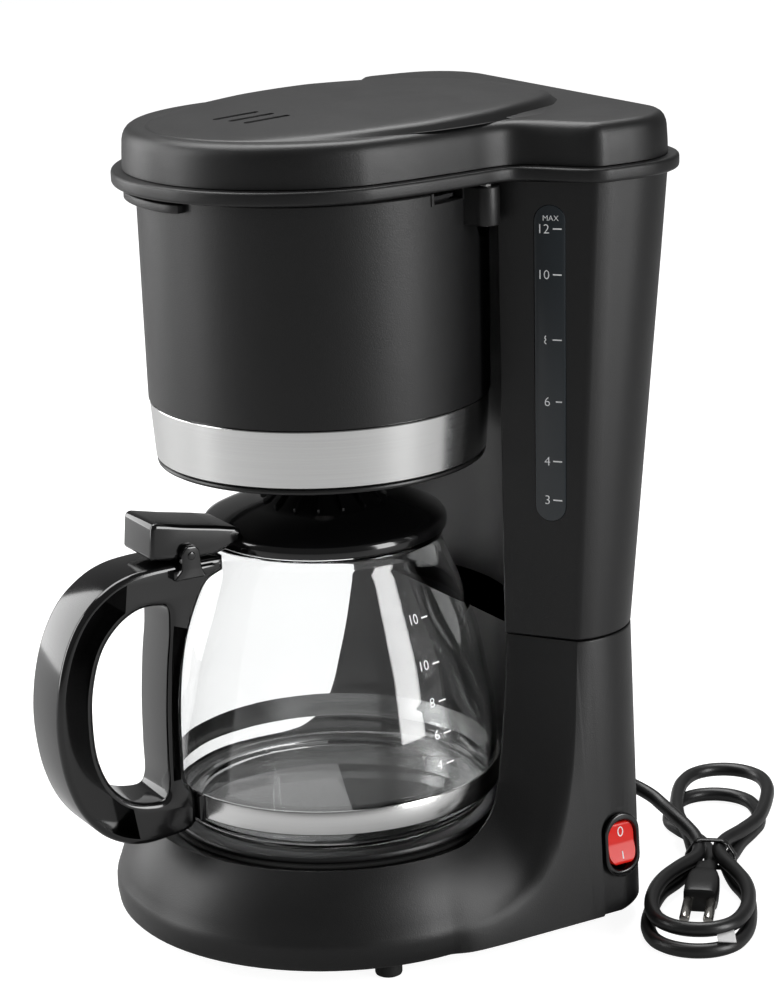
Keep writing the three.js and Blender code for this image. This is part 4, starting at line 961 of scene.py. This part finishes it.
V, F = lathe(prof, 192, mod=spout)
link("jug_glass", mesh_from("jug", V, F), "jug", M["glass"], 60, ["glass_jug"])
V, F = lathe([(65.65, 53.0), (66.2, 53.05), (66.4, 53.5), (66.4, 62.1), (66.2, 62.55), (65.65, 62.6)], 256)
link("jug_hoop", mesh_from("hoop", V, F), "jug", M["bandsteel"], 30, ["jug_band"])
JR = np.array(outer)


def jug_r(z):
    return float(np.interp(z, JR[:, 1], JR[:, 0]))


parts = []
for s, z in (("10", 127.6), ("10", 110.6), ("8", 96.2), ("6", 84.0), ("4", 72.2)):
    size = 5.4
    x0 = -4.0 if len(s) == 2 else -1.2
    parts.append(shifted(text_mesh(s, size), 10.2 + x0, z))
    parts.append(tick_mesh(13.6, 17.2, z + 1.35, z + 1.85))


def on_jug(x, y, t):
    a = (x / 62.0) + 0.0 * D2R
    r = jug_r(y) + 0.06 + t
    return (r * math.cos(a), r * math.sin(a), y)


place("jug_marks", parts, on_jug, "jug", bend=True, look="glowing_glassmark")

# handle
outer_h = [(-50.5, 155), (-66, 155.2), (-81, 155.0), (-90, 153.8), (-98, 150.8), (-108, 143.2), (-115, 132.5), (-119.6, 119), (-121.8, 104), (-121.6, 92), (-119.2, 77.5), (-114, 64.5), (-106, 54.5), (-97, 49), (-88, 46.9), (-73, 48)]
o1 = [tuple(p) for p in catmull(outer_h, 5)]
o2 = [tuple(p) for p in catmull([(-67, 51.5), (-67, 63.5), (-70.2, 68.5), (-70.9, 80), (-70.4, 102), (-67.6, 122), (-63, 136), (-57.4, 146), (-50.5, 149.4)], 4)]
gap = [tuple(p) for p in catmull([(-74.6, 138.6), (-79, 140.2), (-86, 140.0), (-94, 136), (-101.5, 127.4), (-106.2, 113), (-107.2, 98), (-105.8, 84), (-101.2, 73), (-94, 65.8), (-85, 62.9), (-79.4, 63.2), (-77.6, 66.5), (-77.4, 80), (-77.0, 98), (-75.6, 116), (-74.0, 130)], 5, closed=True)]
me = plate("handle", o1 + [(-69, 49.2)] + o2, [gap], -12.4, 12.4, 2.2, 4)
me.transform(YZ_TO_X)
ob = temp(fix(me))


def ear(x0, x1):
    m_ = plate("ear", fillet([(-73.4, 149.6), (-59.5, 149.6), (-61.4, 153.5), (-61.9, 160.0), (-63.4, 162.2), (-67.6, 162.2), (-69.1, 160.0), (-69.6, 153.5)], [0.6, 0.6, 1.2, 2, 1.6, 1.6, 2, 1.2], 5), [], x0, x1, 0.5, 2)
    m_.transform(YZ_TO_X)
    return fix(m_)


arm = plate("arm", [(-72.9, 150.2), (-55.5, 150.2), (-55.5, 153.4), (-72.9, 153.4)], [], -15.3, 15.3, 0.3, 1)
arm.transform(YZ_TO_X)
boolean(ob, [ear(12.7, 15.6), ear(-15.6, -12.7), fix(arm)], "UNION")
# recessed channels along both sides of the grip
go = [p for p in o1 if p[0] < -86]
gg = [p for p in gap if p[0] < -88 and 66 < p[1] < 139]


def channel(side):
    oo = offset(o1 + [(-69, 49.2)] + o2, 2.6)[:len(o1)]
    path_o = [tuple(p) for p in oo if p[0] < -90]
    gi = offset(gap, -2.6)
    path_i = [tuple(p) for p in gi if p[0] < -92]
    pts = path_o + list(reversed(sorted(path_i, key=lambda p: -p[1]))) if False else None
    inner_sorted = sorted(path_i, key=lambda p: p[1])
    poly = path_o + inner_sorted
    x0, x1 = (2.2, 20) if side > 0 else (-20, -2.2)
    return fix(prism_x(poly, x0, x1))


boolean(ob, [channel(1), channel(-1)])
leg = [(-76.0, 70), (-72.9, 70), (-72.9, 90), (-72.5, 102), (-70.6, 116), (-67.2, 129.5), (-72.6, 131.5), (-74.3, 116), (-75.5, 98), (-76.0, 80)]
boolean(ob, [fix(prism_x(leg, 6.5, 20)), fix(prism_x(leg, -20, -6.5))])
link("handle", take(ob), "jug", M["gloss"], 34, ["jug_handle"])
m_ = plate("pin", circ(1.6, 24, -65.5, 158.6), [], -16.0, 16.0, 0.4, 2)
m_.transform(YZ_TO_X)
link("lid_pivot_pin", fix(m_), "jug", M["gloss"], 30, ["jug_lid_pin"])
# clamp end of the hoop beside the handle foot
m_ = plate("clamp", fillet([(-66.9, 52.2), (-62.6, 52.2), (-60.6, 54.4), (-60.6, 61.2), (-62.6, 63.4), (-66.9, 63.4)], 1.0, 3), [], -15.2, 15.2, 0.6, 2)
m_.transform(YZ_TO_X)
ob = temp(fix(m_))
V, F = lathe([(0, 40), (66.6, 40), (66.6, 70), (0, 70)], 128)
boolean(ob, [fix(mesh_from("c", V, F))])
link("hoop_clamp", take(ob), "jug", M["gloss"], 32)

# jug lid
LP = [(4.6, 170.6), (4.6, 177.4), (5.2, 178.0), (11.0, 178.0), (13.2, 177.2), (15.2, 175.4), (19, 171.2), (22.6, 168.2), (25.5, 166.9), (28, 166.5), (34, 165.2), (40, 163.4), (44.0, 161.8), (46.4, 160.6), (47.4, 159.2), (47.6, 157.4), (47.4, 155.9), (46.9, 155.4), (43.8, 155.4), (42.6, 157.6), (24, 165.2)]
V, F = lathe(LP, 160)
ob = temp(fix(mesh_from("jl", V, F)))
lev = plate("lever", fillet([(-80.6, 159.0), (-79.4, 172.6), (-66, 169.6), (-52, 166.9), (-44.6, 165.2), (-42.4, 163.6), (-42.4, 159.2), (-53, 156.0), (-62, 155.8), (-70, 156.5), (-79.6, 157.9)], [1.4, 2.4, 9, 9, 2, 1, 1, 1, 1, 1, 1.2], 6), [], -12.2, 12.2, 1.7, 4)
lev.transform(YZ_TO_X)
link("jug_cover", take(ob), "jug_lid", M["gloss"], 32, ["jug_lid"])
link("lid_lever", fix(lev), "jug_lid", M["gloss"], 34, ["jug_lid"])
for i in range(16):
    a = (i + 0.5) / 16 * 2 * math.pi
    ca, sa = math.cos(a), math.sin(a)
    V = []
    for r, z0, z1 in ((13.0, 176.2, 177.9), (15.6, 172.5, 176.2), (20.0, 168.6, 172.4), (24.5, 166.6, 168.6)):
        for h, q in ((z0, -0.55), (z1, -0.35), (z1, 0.35), (z0, 0.55)):
            V.append((r * ca - q * sa, r * sa + q * ca, h))
    F = [(4 * j + k, 4 * j + (k + 1) % 4, 4 * j + 4 + (k + 1) % 4, 4 * j + 4 + k) for j in range(3) for k in range(4)] + [(3, 2, 1, 0), (12, 13, 14, 15)]
    link("lid_rib_%02d" % i, mesh_from("rib", V, F), "jug_lid", M["gloss"], 30)

# ------------------------------------------------------------------ switch
LEAN = Matrix.Translation((88.9 * MM, 77 * MM, 34.3 * MM)) @ Matrix.Rotation(-3.55 * D2R, 4, "Y")


def st_plate(hw, hh, x0, x1, bev, holes=()):
    m_ = plate("st", stadium(hw, hh, 0, 0), holes, x0, x1, bev, 3)
    m_.transform(YZ_TO_X)
    return fix(m_)


ob = temp(st_plate(7.9, 12.9, -0.6, 1.0, 0.6, [stadium(6.45, 10.2, 0, 0)]))
boolean(ob, [st_plate(7.0, 11.8, -13, 0.0, 0.2, [stadium(6.42, 10.15, 0, 0)])], "UNION")
ob.data.transform(LEAN)
link("switch_bezel", take(ob), "machine", M["gloss"], 32, ["switch_body"])
xz = [(5.5, 8.7), (5.0, 5.0), (4.55, 0), (5.0, -5.0), (5.5, -8.7), (1.5, -7.6), (-2.6, -3.2), (-2.6, 3.2), (1.5, 7.6)]
xz = fillet(xz, [1.3, 8, 6, 8, 1.3, 1, 1, 1, 1], 5)
V = [(x, y, z) for y in (-6.0, 6.0) for x, z in xz]
k = len(xz)
F = [(i, (i + 1) % k, k + (i + 1) % k, k + i) for i in range(k)] + [tuple(reversed(range(k))), tuple(range(k, 2 * k))]
ob = temp(fix(mesh_from("rk", V, F)))
boolean(ob, [st_plate(6.0, 9.3, -20, 20, 0.1)], "INTERSECT")
ROCK = LEAN @ Matrix.Translation((-5 * MM, 0, 0)) @ Matrix.Rotation(-7 * D2R, 4, "Y")
ob.data.transform(ROCK)
link("rocker_cap", take(ob), "rocker", M["red"], 34, ["rocker"])


def on_rocker(x, y, t):
    face = 5.05 + 0.05 * abs(y) / 5 + (0.10 if abs(y) > 5 else 0.0)
    face = float(np.interp(abs(y), [0, 1.5, 5, 8.7], [4.62, 4.74, 5.0, 5.5]))
    v = ROCK @ Vector(((face + 0.05 + t) * MM, x * MM, y * MM))
    return (v.x / MM, v.y / MM, v.z / MM)


def ring_flat(rx, ry, w, cx, cy, n=36, t=0.1):
    V = []
    for z in (-t / 2, t / 2):
        for q in (1.0, 0.0):
            for i in range(n):
                a = 2 * math.pi * i / n
                V.append((cx + (rx - w * q) * math.cos(a), cy + (ry - w * q) * math.sin(a), z))
    F = []
    for i in range(n):
        j = (i + 1) % n
        a, b, c, d = i, n + i, 2 * n + i, 3 * n + i
        A, B, C, D = j, n + j, 2 * n + j, 3 * n + j
        F += [(a, b, B, A), (c, C, D, d), (a, A, C, c), (b, d, D, B)]
    m_ = bpy.data.meshes.new("rf")
    m_.from_pydata(V, [], F)
    return m_


place("rocker_marks", [ring_flat(1.3, 2.0, 0.42, 0, 4.6), tick_mesh(-0.25, 0.25, -6.2, -3.2, 0.1)], on_rocker, "rocker", bend=True)

# ------------------------------------------------------------------ mains cord
T = np.array([63.0, 139.0])
U, W = np.array([0.7526, -0.6585]), np.array([0.6585, 0.7526])


def hu(u, v, z):
    p = T + U * u + W * v
    return (p[0], p[1], z)


def loop(sgn, L, w, v_in, z_in, v_out, z_out, z_mid, turn_deg, first, ret=(0.60, 0.88)):
    """one hank loop from the tie and back: 'first' is the side (sign of v) it leaves on"""
    c, s = math.cos(turn_deg * D2R), math.sin(turn_deg * D2R)
    prof_ = [(9, None), (21, 0.60), (34, 0.88), (L - 32, 1.0), (L - 18, 0.96), (L - 7.5, 0.76), (L - 1.9, 0.42)]
    pts = []
    for i, (u, f) in enumerate(prof_):
        k = min(1, max(0, (u - 8) / 22))
        v = v_in * 1.25 if f is None else first * w * f
        pts.append((u, v, z_in + (z_mid - z_in) * k))
    pts.append((L, 0.0, z_mid))
    for i, (u, f) in enumerate(reversed(prof_)):
        f = ret[0] if u == 21 else ret[1] if u == 34 else f
        k = min(1, max(0, (u - 8) / 22))
        v = v_out * 1.25 if f is None else -first * w * f
        pts.append((u, v, z_out + (z_mid - z_out) * k))
    out = []
    for u, v, z in pts:
        kk = min(1, u / 30)
        uu, vv = u * (1 - kk) + (u * c - v * s) * kk, v * (1 - kk) + (u * s + v * c) * kk
        out.append(hu(sgn * uu, vv, z))
    return out


route = [(4, 99, 24), (4, 106, 24), (4, 114, 24), (4, 120, 24), (4.1, 124.9, 23.85), (5.2, 130.2, 22.8), (8.2, 135.0, 20.9), (13.0, 138.9, 18.6), (19.2, 141.2, 16.6)]
route += [hu(-30, -22.8, 14.9), hu(-22, -16.8, 13.4), hu(-15, -11.6, 12.0), hu(-8, -7.4, 10.6), hu(0, -4.9, 9.2)]
route += loop(1, 80, 18.6, -4.2, 8.9, 4.2, 8.9, 9.1, 0, -1)          # near, upper
route += [hu(0, 3.3, 8.9)]
route += loop(-1, 88.6, 18.8, 4.0, 8.9, -6.3, 3.2, 8.9, 0, 1)        # far, upper
route += [hu(0, -6.3, 3.0)]
route += loop(1, 86, 19.4, -6.4, 3.0, 6.4, 3.0, 3.0, 0, -1)          # near, on the floor
route += [hu(0, 6.3, 3.0)]
route += loop(-1, 74, 18.6, 6.6, 3.0, -1.0, 3.0, 3.0, -3, 1, (0.29, 0.78))          # far, on the floor
route += [hu(0, 0, 3.0), hu(6, -0.3, 3.4), hu(11, -0.6, 5.2), hu(15.5, -0.6, 6.0)]
path = catmull(route, 6)
cu = bpy.data.curves.new("mains_cord", "CURVE")
cu.dimensions = "3D"
sp = cu.splines.new("POLY")
sp.points.add(len(path) - 1)
for q, p in zip(sp.points, path):
    q.co = (p[0] * MM, p[1] * MM, max(2.92, p[2]) * MM, 1)
cu.bevel_depth = 0.0029
cu.bevel_resolution = 7
cu.use_fill_caps = True
cu.materials.append(M["cord"])
cord = bpy.data.objects.new("mains_cord", cu)
SCN.collection.objects.link(cord)
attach(cord, "machine")
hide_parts("cord_lead", "cord_hank_near", "cord_hank_far")

# strain relief: tapered sleeve with ribs
prof = [(3.05, 90.7), (4.5, 90.7), (4.5, 93.9), (5.5, 94.7), (5.5, 98.6), (7.4, 98.9), (7.6, 99.4), (7.6, 100.6), (7.2, 101.0), (5.4, 101.4)]
y = 102.4
r = 5.3
while y < 121.5:
    prof += [(r, y), (r, y + 1.5), (r - 0.75, y + 1.8), (r - 0.75, y + 2.5)]
    y += 2.8
    r -= 0.19
prof += [(4.0, 122.6), (3.9, 124.2), (3.5, 124.7), (3.05, 124.7)]
V, F = lathe(prof, 48)
V = [(4 + a, c, 24 - b) for a, b, c in V]
relief = link("cord_relief", mesh_from("relief", V, F), "machine", M["rubber"], 35, ["strain_relief"])

# tie round the bundle
tv = fillet([(-9.8, 0.9), (9.8, 0.9), (9.8, 6.4), (5.8, 12.3), (-5.8, 12.3), (-9.8, 6.4)], 2.4, 6)
tp = [hu(0.6 * math.sin(i * 1.1), float(p[0]), float(p[1])) for i, p in enumerate(tv)]
V, F = sweep(tp, [(0.75 * math.cos(i / 12 * 2 * math.pi), 1.7 * math.sin(i / 12 * 2 * math.pi)) for i in range(12)], closed=True, up=(U[0], U[1], 0))
tie = link("cord_band", mesh_from("tie", V, F), "machine", M["satin"], 40, ["cord_tie"])

# plug: flat two-pin body with finger facets
b0 = [(13.4, 3.4, 3.2, 3.0), (15, 4.0, 3.6, 3.4), (22, 4.4, 4.4, 4.0), (25, 4.6, 4.7, 4.2), (26, 5.6, 5.2, 5.0), (30, 6.5, 5.3, 5.2), (38, 6.8, 5.3, 5.2), (44, 6.7, 5.2, 5.1), (46.0, 6.2, 4.7, 4.6), (46.4, 5.6, 4.1, 4.0)]
rings = []
for u, hv, hz, _ in b0:
    ring = []
    for i in range(40):
        a = 2 * math.pi * i / 40
        c, s = math.cos(a), math.sin(a)
        e = 0.42
        ring.append(hu(u, -0.6 + hv * math.copysign(abs(c) ** e, c), 6.0 + hz * math.copysign(abs(s) ** e, s)))
    rings.append(ring)
V, F = loft(rings)
plug = link("plug_shell", mesh_from("plug", V, F), "machine", M["satin"], 40, ["plug_body"])
for nm, v in (("plug_pin_1", -5.2), ("plug_pin_2", 4.0)):
    V, F = lathe([(0, 0), (1.85, 0), (1.95, 0.2), (1.95, 8.6), (2.0, 8.8), (2.0, 17.0), (1.5, 17.9), (0, 18.0)], 32)
    V = [hu(46.45 + c, v + a, 6.0 + b) for a, b, c in V]
    link(nm + "_round", mesh_from(nm, V, F), "machine", M["brass"], 35, [nm])

# small blank tag, a thin gently bent strip beside the near loop
rows = []
for i in range(9):
    t = i / 8
    rows.append([hu(84.6 - 11 * t, 9.5 + 7.0 * s - 2.0 * t, 6.6 + 1.1 * math.sin(t * 2.2) + 0.35 * k) for k in (0, 1) for s in ((0, 0.5, 1.0) if k == 0 else (1.0, 0.5, 0))])
V, F = loft(rows)
tag = link("cord_tag", mesh_from("tag", V, F), "machine", M["tag"], 40)

# ------------------------------------------------------------------ CAD nodes that keep their shape
KEEP = {
    "bottom_cover": "housing", "screw_1": "zinc", "screw_2": "zinc", "screw_3": "zinc", "screw_4": "zinc", "lid_hinge_pin": "zinc", "holder_hinge_pin": "zinc",
    "heater_tube": "aluminium", "heater_bracket": "zinc", "thermostat": "white", "thermal_fuse": "white", "check_valve": "white", "inlet_hose": "hose", "outlet_hose": "hose",
    "riser_tube": "white", "spray_arm": "white", "hose_clamp_1": "zinc", "hose_clamp_2": "zinc", "hose_clamp_3": "zinc", "hose_clamp_4": "zinc", "wire_live": "wire", "wire_neutral": "wire",
    "valve_cage": "white", "filter_basket": "basket", "mesh_filter": "mesh", "drip_valve": "silicone", "jug_band_screw": "zinc",
}
for n, k in KEEP.items():
    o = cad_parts[n]
    if o.material_slots:
        for s in o.material_slots:
            s.material = M[k]
    else:
        o.data.materials.append(M[k])

# ------------------------------------------------------------------ stage and light
def emission_mix(name, color, em):
    m = bpy.data.materials.new(name)
    m.use_nodes = True
    b = m.node_tree.nodes["Principled BSDF"]
    b.inputs["Base Color"].default_value = (*color, 1)
    b.inputs["Roughness"].default_value = 0.6
    b.inputs["Specular IOR Level"].default_value = 0.2
    b.inputs["Emission Color"].default_value = (1, 1, 1, 1)
    b.inputs["Emission Strength"].default_value = em
    return m


me = bpy.data.meshes.new("floor")
me.from_pydata([(-6, -6, 0), (6, -6, 0), (6, 6, 0), (-6, 6, 0)], [], [(0, 1, 2, 3)])
floor = bpy.data.objects.new("floor", me)
SCN.collection.objects.link(floor)
floor.location.z = -0.0003
fm = emission_mix("floor", (0.35, 0.35, 0.35), 0.2)
ft = fm.node_tree
flp = ft.nodes.new("ShaderNodeLightPath")
fmx = ft.nodes.new("ShaderNodeMath")
fmx.operation = "MAXIMUM"
fmr = ft.nodes.new("ShaderNodeMapRange")
fmr.inputs["To Min"].default_value = 0.10
fmr.inputs["To Max"].default_value = 0.93
fmt = ft.nodes.new("ShaderNodeMath")
fmt.operation = "MULTIPLY"
fmt.inputs[1].default_value = 0.72
ft.links.new(flp.outputs["Is Transmission Ray"], fmt.inputs[0])
ft.links.new(flp.outputs["Is Camera Ray"], fmx.inputs[0])
ft.links.new(fmt.outputs[0], fmx.inputs[1])
ft.links.new(fmx.outputs[0], fmr.inputs["Value"])
ft.links.new(fmr.outputs[0], ft.nodes["Principled BSDF"].inputs["Emission Strength"])
me.materials.append(fm)


def area(name, loc, look, size, power, size_y=None, color=(1, 1, 1)):
    d = bpy.data.lights.new(name, "AREA")
    d.shape = "RECTANGLE"
    d.size = size
    d.size_y = size_y or size
    d.energy = power
    d.color = color
    o = bpy.data.objects.new(name, d)
    SCN.collection.objects.link(o)
    o.location = loc
    o.rotation_euler = (Vector(look) - Vector(loc)).to_track_quat("-Z", "Y").to_euler()
    return o


CAMDIR = np.array([0.878, -0.479, 0])
RIGHT = np.array([0.479, 0.878, 0])


def spot(right, toward, up):
    p = RIGHT * right + CAMDIR * toward + np.array([0, 0, up])
    return tuple(float(v) for v in p)


area("left_box", spot(-1.62, 0.12, 0.50), (0, 0, 0.17), 0.50, 17, 1.6)
area("right_box", spot(1.36, 0.90, 0.45), (0, 0, 0.17), 0.55, 22, 1.3)
area("top_box", spot(-0.2, -0.5, 1.6), (0, 0, 0.25), 1.8, 36, 1.0)
area("left_back", spot(-1.5, -0.9, 0.6), (0, 0, 0.17), 0.9, 16, 1.5)

w = bpy.data.worlds.new("world")
SCN.world = w
w.use_nodes = True
nt = w.node_tree
nt.nodes.clear()
out = nt.nodes.new("ShaderNodeOutputWorld")
mixn = nt.nodes.new("ShaderNodeMixShader")
bg0, bg1 = nt.nodes.new("ShaderNodeBackground"), nt.nodes.new("ShaderNodeBackground")
bg0.inputs[0].default_value = (1, 1, 1, 1)
bg0.inputs[1].default_value = 0.16
bg1.inputs[0].default_value = (1, 1, 1, 1)
bg1.inputs[1].default_value = 1.15
lp = nt.nodes.new("ShaderNodeLightPath")
mx = nt.nodes.new("ShaderNodeMath")
mx.operation = "MAXIMUM"
mt = nt.nodes.new("ShaderNodeMath")
mt.operation = "MULTIPLY"
mt.inputs[1].default_value = 0.72
nt.links.new(lp.outputs["Is Transmission Ray"], mt.inputs[0])
nt.links.new(lp.outputs["Is Camera Ray"], mx.inputs[0])
nt.links.new(mt.outputs[0], mx.inputs[1])
nt.links.new(mx.outputs[0], mixn.inputs[0])
nt.links.new(bg0.outputs[0], mixn.inputs[1])
nt.links.new(bg1.outputs[0], mixn.inputs[2])
nt.links.new(mixn.outputs[0], out.inputs[0])
SCN.view_settings.view_transform = "Standard"
